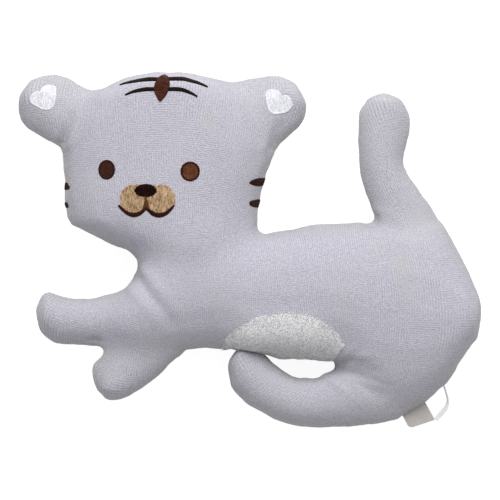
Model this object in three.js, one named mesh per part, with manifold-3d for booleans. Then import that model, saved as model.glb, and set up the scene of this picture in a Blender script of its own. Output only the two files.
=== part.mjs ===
// A stuffed terry-cloth tiger that lies flat on its back panel: millimetres, +Z up, +Y towards the crown.
// Every stuffed section is a front panel and a back panel of cloth round a filling, and flexes at its root.
import * as THREE from "three";
import { mergeVertices } from "three/addons/utils/BufferGeometryUtils.js";
import Module from "manifold-3d";

const wasm = await Module();
wasm.setup();

// Cloth, thread and fits
const seamHeight = 25;
const restingFlat = 0.5;
const clothThickness = 1.2;
const fitGap = 0.3;
const rootGap = 0.8;
const threadHeight = 0.8;
const pileHeight = 1.3;

// Torso
const torsoLength = 228;
const torsoWidth = 122;
const torsoFront = 28;

// Head
const headLength = 119;
const headWidth = 125;
const headFront = 31;

// Ears
const earLength = 35;
const earWidth = 38;
const earFront = 13;
const earBack = 12.5;

// Forelegs
const reachingForelegLength = 50;
const reachingForelegWidth = 30;
const loweredForelegLength = 36;
const loweredForelegWidth = 42;
const forelegFront = 14.5;
const forelegBack = 13.5;

// Hind leg
const hindLegLength = 82;
const hindLegWidth = 34;
const hindLegFront = 15;
const hindLegBack = 14;

// Tail
const tailLength = 86;
const tailWidth = 32;
const tailFront = 14;
const tailBack = 13.5;

// How far each soft root flexes to either side, in degrees
const neckFlex = 12;
const earFlex = 18;
const forelegFlex = 18;
const hindLegFlex = 15;
const tailFlex = 20;
const labelFlex = 60;
const sweepStep = 19;

// Groove between the two forelegs, which opens away from the seam
const crotchHalfGap = 0.6;
const crotchFlareShare = 0.22;

// Embroidered face
const leftEyeWidth = 10;
const leftEyeHeight = 11.7;
const rightEyeWidth = 11.7;
const rightEyeHeight = 12.5;
const noseWidth = 13;
const noseHeight = 8.2;
const muzzleLobeWidth = 15.6;
const muzzleLobeHeight = 17.7;
const philtrumTopWidth = 2.1;
const philtrumFootWidth = 3.7;
const mouthLineWidth = 1.9;
const mouthTipWidth = 1;
const foreheadSpotWidth = 10.4;
const foreheadSpotHeight = 16.4;
const stripeRootWidth = 2;
const stripeTipWidth = 0.8;
const cheekStripeTipWidth = 1;
const rightCheekStripeWidth = 5;
const leftCheekStripeWidth = 4;

// Ear hearts, with how far each is turned from its ear's heading, in degrees
const heartWidth = 15.8;
const heartLength = 16.4;
const leftHeartTurn = -37;
const rightHeartTurn = 42;

// Sewn-in care label and its ribbon
const labelWidth = 15.4;
const labelLength = 9.6;
const labelThickness = 0.9;
const labelHemShare = 0.35;
const ribbonWidth = 2.2;
const ribbonThickness = 0.6;

// How far the belly's edge is drawn up and down where the tip of the hind leg passes it
const bellyRoomStretchShare = 8;

// Facets
const bodyRingSides = 16;
const limbRingSides = 12;
const earRingSides = 10;
const outlineSides = 20;
const strokeSteps = 10;
const ribbonSteps = 14;

// Each row holds the left and right edge of a cross-section, along and across its own section.
const torsoRowShares = [
  [-0.49, -0.02, -0.49, -0.225],
  [-0.452, 0.07, -0.455, -0.275],
  [-0.415, 0.175, -0.4, -0.29],
  [-0.345, 0.36, -0.325, -0.265],
  [-0.225, 0.425, -0.225, -0.243],
  [-0.118, 0.332, -0.12, -0.265],
  [0.025, 0.36, 0.005, -0.285],
  [0.15, 0.378, 0.105, -0.315],
  [0.245, 0.41, 0.195, -0.49],
  [0.325, 0.46, 0.285, -0.58],
  [0.39, 0.385, 0.35, -0.51],
  [0.43, 0.25, 0.4, -0.42],
  [0.465, 0.12, 0.44, -0.305],
  [0.49, 0.005, 0.48, -0.195],
];
const headRowShares = [
  [-0.515, 0.065, -0.47, -0.325],
  [-0.405, 0.19, -0.38, -0.415],
  [-0.345, 0.335, -0.295, -0.45],
  [-0.275, 0.46, -0.21, -0.455],
  [-0.155, 0.49, -0.12, -0.47],
  [-0.01, 0.495, -0.01, -0.508],
  [0.125, 0.5, 0.115, -0.538],
  [0.255, 0.475, 0.245, -0.505],
  [0.375, 0.395, 0.37, -0.425],
  [0.43, 0.28, 0.445, -0.305],
  [0.48, 0.16, 0.485, -0.13],
];
const leftEarRowShares = [
  [-0.295, 0.5, -0.345, -0.425],
  [0.045, 0.53, -0.035, -0.475],
  [0.36, 0.46, 0.2, -0.515],
  [0.635, 0.4, 0.43, -0.545],
  [0.83, 0.285, 0.67, -0.495],
  [0.955, 0.11, 0.875, -0.345],
];
const rightEarRowShares = [
  [-0.435, 0.455, -0.32, -0.55],
  [-0.13, 0.62, 0.1, -0.63],
  [0.1, 0.55, 0.325, -0.555],
  [0.365, 0.5, 0.545, -0.487],
  [0.625, 0.415, 0.735, -0.382],
  [0.83, 0.225, 0.855, -0.205],
];
const reachingForelegRowShares = [
  [-0.295, 0.445, -0.39, -0.47],
  [0.01, 0.58, -0.145, -0.66],
  [0.245, 0.56, 0.1, -0.48],
  [0.44, 0.545, 0.305, -0.4],
  [0.62, 0.535, 0.51, -0.385],
  [0.78, 0.5, 0.695, -0.445],
  [0.92, 0.28, 0.87, -0.505],
];
const loweredForelegRowShares = [
  [-0.525, 0.57, -0.21, -0.48],
  [-0.24, 0.63, 0.17, -0.515],
  [0.045, 0.5, 0.365, -0.485],
  [0.335, 0.385, 0.545, -0.5],
  [0.57, 0.265, 0.725, -0.45],
  [0.8, 0.095, 0.885, -0.355],
];
const hindLegRowShares = [
  [-0.3, 0.53, -0.26, -0.69],
  [-0.095, 0.59, -0.035, -0.68],
  [0.115, 0.565, 0.14, -0.545],
  [0.32, 0.5, 0.305, -0.41],
  [0.505, 0.4, 0.445, -0.455],
  [0.675, 0.185, 0.545, -0.62],
  [0.83, -0.135, 0.635, -0.865],
  [0.93, -0.48, 0.725, -1.055],
  [0.935, -0.81, 0.815, -1.14],
];
const tailRowShares = [
  [-0.2, 0.47, -0.195, -0.795],
  [0.02, 0.665, -0.015, -0.63],
  [0.21, 0.735, 0.19, -0.335],
  [0.37, 0.83, 0.38, -0.055],
  [0.535, 0.87, 0.52, 0.03],
  [0.69, 0.855, 0.66, -0.055],
  [0.86, 0.8, 0.8, -0.145],
  [0.965, 0.595, 0.93, -0.03],
];

// Half-width, as a share of half the section's width, from which a cross-section has its full depth
const plumpShare = 0.6;

// A section's place is its origin on the section that carries it, in shares of the carrier's sizes.
const headSeatShares = [-0.35, 0.65];
const leftEarSeatShares = [0.27, 0.449];
const rightEarSeatShares = [0.285, -0.444];
const reachingForelegSeatShares = [-0.476, -0.09];
const loweredForelegSeatShares = [-0.423, -0.25];
const hindLegSeatShares = [0.171, -0.47];
const tailSeatShares = [0.31, 0.34];

const torso = {
  name: "torso",
  heading: 0,
  length: torsoLength,
  width: torsoWidth,
  front: torsoFront,
  back: seamHeight + restingFlat,
  sides: bodyRingSides,
  rows: torsoRowShares,
  rootTip: [-0.505, -0.14],
  freeTip: [0.495, -0.09],
};
const head = {
  name: "head",
  carrier: torso,
  seat: headSeatShares,
  heading: 90,
  length: headLength,
  width: headWidth,
  front: headFront,
  back: seamHeight + restingFlat,
  sides: bodyRingSides,
  rows: headRowShares,
  rootTip: [-0.555, -0.15],
  freeTip: [0.5, 0.035],
  hinge: [-0.39, -0.17],
  hingeTurn: 14,
  flex: neckFlex,
};
const leftEar = {
  name: "left_ear",
  carrier: head,
  seat: leftEarSeatShares,
  heading: 162,
  length: earLength,
  width: earWidth,
  front: earFront,
  back: earBack,
  sides: earRingSides,
  rows: leftEarRowShares,
  rootTip: [-0.65, 0.025],
  freeTip: [0.985, -0.095],
  hinge: [-0.31, 0],
  hingeTurn: 0,
  flex: earFlex,
};
const rightEar = {
  name: "right_ear",
  carrier: head,
  seat: rightEarSeatShares,
  heading: 23,
  length: earLength,
  width: earWidth,
  front: earFront,
  back: earBack,
  sides: earRingSides,
  rows: rightEarRowShares,
  rootTip: [-0.73, -0.02],
  freeTip: [0.885, -0.005],
  hinge: [-0.3, 0],
  hingeTurn: 0,
  flex: earFlex,
};
const reachingForeleg = {
  name: "reaching_foreleg",
  carrier: torso,
  seat: reachingForelegSeatShares,
  heading: 180,
  length: reachingForelegLength,
  width: reachingForelegWidth,
  front: forelegFront,
  back: forelegBack,
  sides: limbRingSides,
  rows: reachingForelegRowShares,
  rootTip: [-0.51, 0],
  freeTip: [0.99, -0.185],
  hinge: [-0.33, 0],
  hingeTurn: 0,
  flex: forelegFlex,
};
const loweredForeleg = {
  name: "lowered_foreleg",
  carrier: torso,
  seat: loweredForelegSeatShares,
  heading: 248,
  length: loweredForelegLength,
  width: loweredForelegWidth,
  front: forelegFront,
  back: forelegBack,
  sides: limbRingSides,
  rows: loweredForelegRowShares,
  rootTip: [-0.675, -0.045],
  freeTip: [0.985, -0.115],
  hinge: [-0.36, 0],
  hingeTurn: 0,
  flex: forelegFlex,
};
const hindLeg = {
  name: "hind_leg",
  carrier: torso,
  seat: hindLegSeatShares,
  heading: 190,
  length: hindLegLength,
  width: hindLegWidth,
  front: hindLegFront,
  back: hindLegBack,
  sides: limbRingSides,
  rows: hindLegRowShares,
  rootTip: [-0.445, -0.065],
  freeTip: [0.89, -1.055],
  hinge: [-0.188, -0.3],
  hingeTurn: 42,
  flex: hindLegFlex,
};
const tail = {
  name: "tail",
  carrier: torso,
  seat: tailSeatShares,
  heading: 95,
  length: tailLength,
  width: tailWidth,
  front: tailFront,
  back: tailBack,
  sides: limbRingSides,
  rows: tailRowShares,
  rootTip: [-0.38, -0.065],
  freeTip: [0.995, 0.29],
  hinge: [-0.06, 0],
  hingeTurn: 0,
  flex: tailFlex,
};
const limbs = [head, leftEar, rightEar, reachingForeleg, loweredForeleg, hindLeg, tail];

// Materials
const cover = new THREE.MeshStandardMaterial({ color: 0xc7c6d1, roughness: 0.95, metalness: 0 });
const stuffing = new THREE.MeshStandardMaterial({ color: 0xf1efe9, roughness: 1, metalness: 0 });
const brownThread = new THREE.MeshStandardMaterial({ color: 0x4a251b, roughness: 0.6, metalness: 0 });
const noseThread = new THREE.MeshStandardMaterial({ color: 0x230d0a, roughness: 0.55, metalness: 0 });
const blackThread = new THREE.MeshStandardMaterial({ color: 0x1d1415, roughness: 0.6, metalness: 0 });
const tanThread = new THREE.MeshStandardMaterial({ color: 0xb08c63, roughness: 0.7, metalness: 0 });
const goldThread = new THREE.MeshStandardMaterial({ color: 0x57351a, roughness: 0.6, metalness: 0 });
const whiteThread = new THREE.MeshStandardMaterial({ color: 0xeeeef2, roughness: 0.65, metalness: 0 });
const looseTerry = new THREE.MeshStandardMaterial({ color: 0xd9d7d4, roughness: 1, metalness: 0 });
const labelTape = new THREE.MeshStandardMaterial({ color: 0xb4aea6, roughness: 0.8, metalness: 0 });
const ribbonTape = new THREE.MeshStandardMaterial({ color: 0xf2f2f0, roughness: 0.5, metalness: 0 });

const toy = new THREE.Group();
const workSpan = 4 * torsoLength;

// Turns a closed geometry into a solid.
function solidOf(geometry) {
  const bare = geometry.clone();
  bare.deleteAttribute("normal");
  bare.deleteAttribute("uv");
  const merged = mergeVertices(bare);
  return new wasm.Manifold(new wasm.Mesh({
    numProp: 3,
    vertProperties: merged.attributes.position.array,
    triVerts: new Uint32Array(merged.index.array),
  }));
}

// Turns a solid back into a geometry.
function geometryOf(solid) {
  const mesh = solid.getMesh();
  const geometry = new THREE.BufferGeometry();
  geometry.setAttribute("position", new THREE.BufferAttribute(mesh.vertProperties, 3));
  geometry.setIndex(new THREE.BufferAttribute(mesh.triVerts, 1));
  geometry.computeVertexNormals();
  return geometry;
}

// The main body of a cut solid, without the crumbs that a cut leaves beside it.
function mainBody(solid) {
  const bodies = solid.decompose();
  return bodies.reduce((largest, body) => (body.volume() > largest.volume() ? body : largest));
}

function addPiece(name, solid, material) {
  const piece = new THREE.Mesh(geometryOf(mainBody(solid)), material);
  piece.name = name;
  toy.add(piece);
}

// A flat layer of space between two heights, wider than the toy.
function layer(low, high) {
  const box = new THREE.BoxGeometry(workSpan, workSpan, high - low);
  box.translate(0, 0, (low + high) / 2);
  return solidOf(box);
}

// Unit vector in plan at an angle in degrees from +X.
function planDirection(degrees) {
  const angle = THREE.MathUtils.degToRad(degrees);
  return new THREE.Vector2(Math.cos(angle), Math.sin(angle));
}

// A point in plan, from its shares along and across a section.
function planPoint(section, [alongShare, acrossShare]) {
  const origin = section.carrier ? planPoint(section.carrier, section.seat) : new THREE.Vector2();
  const along = planDirection(section.heading).multiplyScalar(alongShare * section.length);
  const across = planDirection(section.heading + 90).multiplyScalar(acrossShare * section.width);
  return origin.add(along).add(across);
}

// One elliptical ring across a section: thin rows near a tip are shallower than the plump middle.
function ringPoints(section, sides, [leftAlong, leftAcross, rightAlong, rightAcross]) {
  const left = planPoint(section, [leftAlong, leftAcross]);
  const right = planPoint(section, [rightAlong, rightAcross]);
  const centre = left.clone().add(right).divideScalar(2);
  const half = right.clone().sub(centre);
  const fullness = Math.min(1, half.length() / (plumpShare * section.width / 2));
  const depthShare = Math.sqrt(1 - (1 - fullness) ** 2);
  return Array.from({ length: sides }, (_, k) => {
    const turn = (2 * Math.PI * k) / sides;
    const plan = centre.clone().addScaledVector(half, Math.cos(turn));
    const depth = (turn < Math.PI ? section.front : section.back) * depthShare;
    return [plan.x, plan.y, seamHeight + depth * Math.sin(turn)];
  });
}

// The closed surface of a section, lofted through its rings from root tip to free tip.
function loftGeometry(section, sides) {
  const root = planPoint(section, section.rootTip);
  const free = planPoint(section, section.freeTip);
  const rings = section.rows.flatMap((row) => ringPoints(section, sides, row));
  const points = [[root.x, root.y, seamHeight], ...rings, [free.x, free.y, seamHeight]];
  const last = points.length - 1;
  const faces = [];
  for (let k = 0; k < sides; k++) {
    const next = (k + 1) % sides;
    faces.push(0, 1 + k, 1 + next);
    for (let row = 0; row < section.rows.length - 1; row++) {
      const near = 1 + row * sides;
      const far = near + sides;
      faces.push(near + k, far + next, near + next, near + k, far + k, far + next);
    }
    faces.push(last, last - sides + next, last - sides + k);
  }
  const geometry = new THREE.BufferGeometry();
  geometry.setAttribute("position", new THREE.Float32BufferAttribute(points.flat(), 3));
  geometry.setIndex(faces);
  geometry.computeVertexNormals();
  return geometry;
}

// A section's solid grown outwards by an offset, or shrunk where it is negative, with its flat base.
function form(section, offset, sides = section.sides) {
  const geometry = loftGeometry(section, sides);
  const position = geometry.attributes.position;
  const normal = geometry.attributes.normal;
  for (let i = 0; i < position.count; i++) {
    position.setXYZ(
      i,
      position.getX(i) + normal.getX(i) * offset,
      position.getY(i) + normal.getY(i) * offset,
      position.getZ(i) + normal.getZ(i) * offset,
    );
  }
  return solidOf(geometry).intersect(layer(-offset, workSpan));
}

// The line that a section's root flexes about: a point at seam height and a direction in plan.
function hingeOf(section) {
  const point = planPoint(section, section.hinge);
  const direction = planDirection(section.heading - 90 + section.hingeTurn);
  return {
    point: new THREE.Vector3(point.x, point.y, seamHeight),
    axis: new THREE.Vector3(direction.x, direction.y, 0),
  };
}

// A solid turned about a hinge line.
function turned(solid, hinge, degrees) {
  const geometry = geometryOf(solid);
  const { x, y, z } = hinge.point;
  geometry.translate(-x, -y, -z);
  geometry.applyMatrix4(new THREE.Matrix4().makeRotationAxis(hinge.axis, THREE.MathUtils.degToRad(degrees)));
  geometry.translate(x, y, z);
  return solidOf(geometry);
}

// Everything that a solid sweeps through, as seen from a piece that flexes about a hinge.
function swept(solid, hinge, flex) {
  const steps = Math.ceil(flex / sweepStep);
  let sum = solid;
  for (let step = 1; step <= steps; step++) {
    const turn = (step / steps) * flex;
    sum = sum.add(turned(solid, hinge, turn)).add(turned(solid, hinge, -turn));
  }
  return sum;
}

// The space on one side of the groove between the forelegs, side 1 above it and -1 below.
function crotchSide(side) {
  const start = planPoint(torso, [-0.495, -0.225]);
  const depth = torsoFront;
  const flare = crotchHalfGap + crotchFlareShare * depth;
  const outline = new THREE.Shape([
    new THREE.Vector2(-side * flare, -depth),
    new THREE.Vector2(-side * crotchHalfGap, 0),
    new THREE.Vector2(-side * flare, depth),
    new THREE.Vector2(side * torsoWidth, depth),
    new THREE.Vector2(side * torsoWidth, -depth),
  ]);
  const space = new THREE.ExtrudeGeometry(outline, { depth: torsoLength, bevelEnabled: false });
  space.translate(0, 0, -torsoLength / 2);
  const bisector = (reachingForeleg.heading + loweredForeleg.heading) / 2;
  const along = planDirection(bisector);
  const across = planDirection(bisector - 90);
  const frame = new THREE.Matrix4().makeBasis(
    new THREE.Vector3(across.x, across.y, 0),
    new THREE.Vector3(0, 0, 1),
    new THREE.Vector3(-along.x, -along.y, 0),
  );
  space.applyMatrix4(frame);
  space.translate(start.x, start.y, seamHeight);
  return solidOf(space);
}

// The two cloth panels and the filling of one section, cut clear of what it flexes against.
function addStuffedSection(section, cutters) {
  const clear = (solid) => cutters.reduce((rest, cutter) => rest.subtract(cutter), solid);
  const shell = clear(form(section, 0).subtract(form(section, -clothThickness)));
  const front = shell.intersect(layer(seamHeight + fitGap / 2, workSpan));
  const back = shell.intersect(layer(-restingFlat, seamHeight - fitGap / 2));
  addPiece(`${section.name}_front_panel`, front, cover);
  addPiece(`${section.name}_back_panel`, back, cover);
  const core = form(section, -clothThickness - fitGap, section.sides / 2);
  addPiece(`${section.name}_filling`, clear(core), stuffing);
}

// The solid over a plan outline, from the side seam up.
function prism(outline) {
  const height = 2 * seamHeight + headFront;
  const geometry = new THREE.ExtrudeGeometry(new THREE.Shape(outline), { depth: height, bevelEnabled: false });
  geometry.translate(0, 0, seamHeight + fitGap / 2);
  return solidOf(geometry);
}

// A layer of thread or pile that lies on a section's cloth.
function surfaceLayer(section, height) {
  return form(section, fitGap + height).subtract(form(section, fitGap));
}

function ellipseOutline(section, centreShares, width, height, grow = 0) {
  const centre = planPoint(section, centreShares);
  return Array.from({ length: outlineSides }, (_, k) => {
    const turn = (2 * Math.PI * k) / outlineSides;
    const x = centre.x + (width / 2 + grow) * Math.cos(turn);
    return new THREE.Vector2(x, centre.y + (height / 2 + grow) * Math.sin(turn));
  });
}

// A lens with two points, like a long leaf.
function leafOutline(section, centreShares, width, height, grow = 0) {
  const centre = planPoint(section, centreShares);
  return Array.from({ length: outlineSides }, (_, k) => {
    const turn = (2 * Math.PI * k) / outlineSides;
    const x = centre.x + (width / 2 + grow) * Math.sin(turn) * Math.abs(Math.sin(turn)) ** 0.3;
    return new THREE.Vector2(x, centre.y + (height / 2 + grow) * Math.cos(turn));
  });
}

function heartOutline(section, centreShares, headingTurn, width, length) {
  const centre = planPoint(section, centreShares);
  const up = planDirection(section.heading + headingTurn);
  const right = planDirection(section.heading + headingTurn - 90);
  return Array.from({ length: outlineSides }, (_, k) => {
    const turn = -(2 * Math.PI * k) / outlineSides;
    const acrossShare = Math.sin(turn) ** 3 / 2;
    const alongShare =
      (13 * Math.cos(turn) - 5 * Math.cos(2 * turn) - 2 * Math.cos(3 * turn) - Math.cos(4 * turn)) / 29;
    return centre.clone().addScaledVector(up, alongShare * length).addScaledVector(right, acrossShare * width);
  });
}

// The outline of a line of thread that tapers evenly between its two end widths.
function strokeOutline(section, pointShares, startWidth, endWidth, grow = 0) {
  const places = pointShares.map((shares) => planPoint(section, shares));
  const path = new THREE.SplineCurve(places);
  const left = [];
  const right = [];
  for (let step = 0; step <= strokeSteps; step++) {
    const share = step / strokeSteps;
    const centre = path.getPoint(share);
    const tangent = path.getTangent(share);
    const side = new THREE.Vector2(-tangent.y, tangent.x);
    const half = THREE.MathUtils.lerp(startWidth, endWidth, share) / 2 + grow;
    left.push(centre.clone().addScaledVector(side, half));
    right.unshift(centre.clone().addScaledVector(side, -half));
  }
  return [...right, ...left];
}

// Eyes, nose, muzzle and mouth
function addFace(threadLayer) {
  const stitch = (name, area, material) => addPiece(name, threadLayer.intersect(area), material);
  const noseShares = [-0.112, 0.091];
  const mouthShares = [
    [-0.189, 0.217], [-0.225, 0.182], [-0.243, 0.143], [-0.235, 0.109], [-0.214, 0.082],
    [-0.235, 0.055], [-0.248, 0.021], [-0.233, -0.018], [-0.192, -0.054],
  ];
  const philtrumShares = [[-0.127, 0.086], [-0.207, 0.082]];
  const nose = (grow) => prism(ellipseOutline(head, noseShares, noseWidth, noseHeight, grow));
  const mouth = (grow) => mouthArea(mouthShares, grow);
  const philtrum = (grow) =>
    prism(strokeOutline(head, philtrumShares, philtrumTopWidth, philtrumFootWidth, grow));
  stitch("left_eye", prism(ellipseOutline(head, [-0.004, 0.2765], leftEyeWidth, leftEyeHeight)), brownThread);
  stitch("right_eye", prism(ellipseOutline(head, [-0.013, -0.13], rightEyeWidth, rightEyeHeight)), brownThread);
  stitch("nose", nose(0), noseThread);
  stitch("mouth_line", mouth(0), brownThread);
  stitch("philtrum", philtrum(0).subtract(nose(fitGap)).subtract(mouth(fitGap)), goldThread);
  const lobeShares = { left_muzzle: [-0.158, 0.1506], right_muzzle: [-0.158, 0.0125] };
  for (const [name, shares] of Object.entries(lobeShares)) {
    const lobe = prism(ellipseOutline(head, shares, muzzleLobeWidth, muzzleLobeHeight));
    stitch(name, lobe.subtract(nose(fitGap)).subtract(mouth(fitGap)).subtract(philtrum(fitGap)), tanThread);
  }
}

// The mouth is one line of thread that is thin at both corners.
function mouthArea(mouthShares, grow) {
  const middle = (mouthShares.length - 1) / 2;
  const left = mouthShares.slice(0, middle + 1);
  const right = mouthShares.slice(middle);
  const leftArea = prism(strokeOutline(head, left, mouthTipWidth, mouthLineWidth, grow));
  return leftArea.add(prism(strokeOutline(head, right, mouthLineWidth, mouthTipWidth, grow)));
}

// Forehead spot with two stripes to either side, and two stripes on each cheek
function addStripes(threadLayer) {
  const stitch = (name, area, material) => addPiece(name, threadLayer.intersect(area), material);
  const spot = (grow) =>
    prism(leafOutline(head, [0.413, 0.01], foreheadSpotWidth, foreheadSpotHeight, grow));
  stitch("forehead_spot", spot(0), brownThread);
  const foreheadStripeShares = {
    upper_left: [[0.46, 0.015], [0.463, 0.068], [0.454, 0.141], [0.435, 0.212]],
    lower_left: [[0.411, 0.025], [0.413, 0.082], [0.403, 0.136], [0.378, 0.188]],
    upper_right: [[0.459, 0], [0.467, -0.078], [0.459, -0.127], [0.421, -0.214]],
    lower_right: [[0.411, 0], [0.411, -0.078], [0.395, -0.127], [0.37, -0.162]],
  };
  for (const [side, shares] of Object.entries(foreheadStripeShares)) {
    const line = prism(strokeOutline(head, shares, stripeRootWidth, stripeTipWidth));
    stitch(`forehead_stripe_${side}`, line.subtract(spot(fitGap)), blackThread);
  }
  const cheekStripes = {
    right_upper: { shares: [[-0.069, -0.412], [-0.069, -0.53]], width: rightCheekStripeWidth },
    right_lower: { shares: [[-0.174, -0.41], [-0.18, -0.52]], width: rightCheekStripeWidth },
    left_upper: { shares: [[-0.09, 0.46], [-0.086, 0.54]], width: leftCheekStripeWidth },
    left_lower: { shares: [[-0.184, 0.462], [-0.18, 0.54]], width: leftCheekStripeWidth },
  };
  for (const [side, { shares, width }] of Object.entries(cheekStripes)) {
    const line = prism(strokeOutline(head, shares, cheekStripeTipWidth, width));
    stitch(`cheek_stripe_${side}`, line, blackThread);
  }
}

function addHearts() {
  const leftHeart = heartOutline(leftEar, [0.6, -0.14], leftHeartTurn, heartWidth, heartLength);
  const rightHeart = heartOutline(rightEar, [0.44, 0.053], rightHeartTurn, heartWidth, heartLength);
  addPiece("left_ear_heart", surfaceLayer(leftEar, threadHeight).intersect(prism(leftHeart)), whiteThread);
  addPiece("right_ear_heart", surfaceLayer(rightEar, threadHeight).intersect(prism(rightHeart)), whiteThread);
}

// The belly patch reaches from its curved upper edge down past the side seam.
function bellyOutline() {
  const outlineShares = [
    [-0.205, -0.33], [-0.19, -0.2], [-0.15, -0.135], [-0.123, -0.1], [-0.091, -0.0775], [-0.03, -0.0675],
    [0.011, -0.0725], [0.043, -0.085], [0.07, -0.105], [0.096, -0.145], [0.115, -0.175], [0.13, -0.235],
    [0.112, -0.275], [0.088, -0.32], [0.08, -0.4], [-0.205, -0.4],
  ];
  return outlineShares.map((shares) => planPoint(torso, shares)).reverse();
}

// The tip of the hind leg passes the belly edge here, so it stays outside the patch at every height.
function bellyRoom() {
  const edge = geometryOf(form(torso, pileHeight + rootGap + fitGap));
  edge.translate(0, 0, -seamHeight);
  edge.scale(1, 1, bellyRoomStretchShare);
  const room = new THREE.ExtrudeGeometry(new THREE.Shape(bellyOutline()), { depth: workSpan, bevelEnabled: false });
  room.translate(0, 0, -workSpan / 2);
  return solidOf(edge).intersect(solidOf(room)).translate([0, 0, seamHeight]);
}

// The label's root lies on the side seam of the rump, and the label reaches straight out from there.
function labelFrame() {
  const start = planPoint(torso, [0.289, -0.583]);
  const end = planPoint(torso, [0.347, -0.513]);
  const along = end.clone().sub(start).normalize();
  return { start, end, along, out: new THREE.Vector2(along.y, -along.x) };
}

const labelHinge = (() => {
  const { start, along } = labelFrame();
  return {
    point: new THREE.Vector3(start.x, start.y, seamHeight),
    axis: new THREE.Vector3(along.x, along.y, 0),
  };
})();

function labelSolid(grow = 0) {
  const { start, end, along, out } = labelFrame();
  const hem = labelHemShare * labelLength;
  const box = new THREE.BoxGeometry(labelWidth + 2 * grow, labelLength + hem + 2 * grow, labelThickness + 2 * grow);
  box.rotateZ(Math.atan2(along.y, along.x));
  const middle = start.clone().add(end).divideScalar(2).addScaledVector(out, (labelLength - hem) / 2);
  box.translate(middle.x, middle.y, seamHeight);
  return solidOf(box);
}

// The ribbon leaves the seam above the label and curls round behind it, standing on its edge.
function ribbonSolid() {
  const routeShares = [
    [0.388, -0.42], [0.405, -0.4875], [0.4055, -0.5125], [0.401, -0.54], [0.388, -0.5625], [0.381, -0.59],
  ];
  const places = routeShares.map((shares) => planPoint(torso, shares));
  const path = new THREE.CatmullRomCurve3(places.map((place) => new THREE.Vector3(place.x, place.y, seamHeight)));
  const section = new THREE.Shape([
    new THREE.Vector2(-ribbonWidth / 2, -ribbonThickness / 2),
    new THREE.Vector2(ribbonWidth / 2, -ribbonThickness / 2),
    new THREE.Vector2(ribbonWidth / 2, ribbonThickness / 2),
    new THREE.Vector2(-ribbonWidth / 2, ribbonThickness / 2),
  ]);
  return solidOf(new THREE.ExtrudeGeometry(section, { steps: ribbonSteps, extrudePath: path }));
}

function buildToy() {
  const hinges = {};
  addStuffedSection(torso, []);
  addPiece("belly_patch", surfaceLayer(torso, pileHeight).intersect(prism(bellyOutline())), looseTerry);
  for (const section of limbs) {
    const hinge = hingeOf(section);
    const cutters = [swept(form(section.carrier, rootGap), hinge, section.flex)];
    if (section === reachingForeleg) cutters.push(crotchSide(-1));
    if (section === loweredForeleg) cutters.push(crotchSide(1));
    if (section === hindLeg) cutters.push(bellyRoom(), swept(labelSolid(fitGap), labelHinge, labelFlex));
    addStuffedSection(section, cutters);
    hinges[section.name] = { ...hinge, flex: section.flex };
  }
  const threadLayer = surfaceLayer(head, threadHeight);
  addFace(threadLayer);
  addStripes(threadLayer);
  addHearts();
  const rumpRoom = swept(form(torso, fitGap), labelHinge, labelFlex);
  addPiece("care_label", labelSolid().subtract(rumpRoom), labelTape);
  addPiece("label_ribbon", ribbonSolid().subtract(rumpRoom), ribbonTape);
  hinges.label = { ...labelHinge, flex: labelFlex };
  return hinges;
}

// The toy stands centred in plan on its own extent, with the table at height zero.
function centreToy(hinges) {
  const centre = new THREE.Box3().setFromObject(toy).getCenter(new THREE.Vector3()).setZ(0);
  toy.position.sub(centre);
  for (const hinge of Object.values(hinges)) hinge.point.sub(centre);
  toy.userData.hinges = hinges;
}

centreToy(buildToy());

export default toy;
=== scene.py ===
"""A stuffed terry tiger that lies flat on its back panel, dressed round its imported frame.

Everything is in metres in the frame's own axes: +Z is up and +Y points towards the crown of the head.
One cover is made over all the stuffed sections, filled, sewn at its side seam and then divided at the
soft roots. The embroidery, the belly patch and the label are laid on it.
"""

import logging
import math
import random
from contextlib import contextmanager
from dataclasses import dataclass, field
from enum import Enum
from typing import Any, Iterator, Sequence

import bpy
import numpy as np
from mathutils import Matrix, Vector, noise
from mathutils.kdtree import KDTree
from mathutils.bvhtree import BVHTree


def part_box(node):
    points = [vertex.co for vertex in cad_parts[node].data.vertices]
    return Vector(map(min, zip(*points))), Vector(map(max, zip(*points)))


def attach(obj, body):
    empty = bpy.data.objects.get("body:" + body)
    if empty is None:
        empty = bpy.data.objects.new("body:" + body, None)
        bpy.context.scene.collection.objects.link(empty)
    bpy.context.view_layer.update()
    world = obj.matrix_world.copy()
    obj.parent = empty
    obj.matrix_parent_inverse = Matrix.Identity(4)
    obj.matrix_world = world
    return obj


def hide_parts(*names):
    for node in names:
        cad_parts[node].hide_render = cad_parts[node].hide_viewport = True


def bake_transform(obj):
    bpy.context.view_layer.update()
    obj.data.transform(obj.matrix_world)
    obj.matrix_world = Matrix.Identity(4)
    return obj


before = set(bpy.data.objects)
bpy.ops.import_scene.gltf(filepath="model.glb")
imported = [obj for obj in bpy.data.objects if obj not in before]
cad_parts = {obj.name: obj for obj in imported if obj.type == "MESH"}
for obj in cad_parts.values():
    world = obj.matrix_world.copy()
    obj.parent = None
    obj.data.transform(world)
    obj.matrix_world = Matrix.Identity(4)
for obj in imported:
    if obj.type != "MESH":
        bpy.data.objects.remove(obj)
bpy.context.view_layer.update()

LOG = logging.getLogger("plush_tiger")
MM = 0.001
UP = Vector((0.0, 0.0, 1.0))
Colour = tuple[float, float, float, float]


class Section(Enum):
    """The stuffed sections of the toy, by the names that their nodes start with."""

    TORSO = "torso"
    HEAD = "head"
    LEFT_EAR = "left_ear"
    RIGHT_EAR = "right_ear"
    REACHING_FORELEG = "reaching_foreleg"
    LOWERED_FORELEG = "lowered_foreleg"
    HIND_LEG = "hind_leg"
    TAIL = "tail"

    def nodes(self) -> list[str]:
        """The names of the section's panels and filling."""
        return [f"{self.value}_{piece}" for piece in ("front_panel", "back_panel", "filling")]


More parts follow.
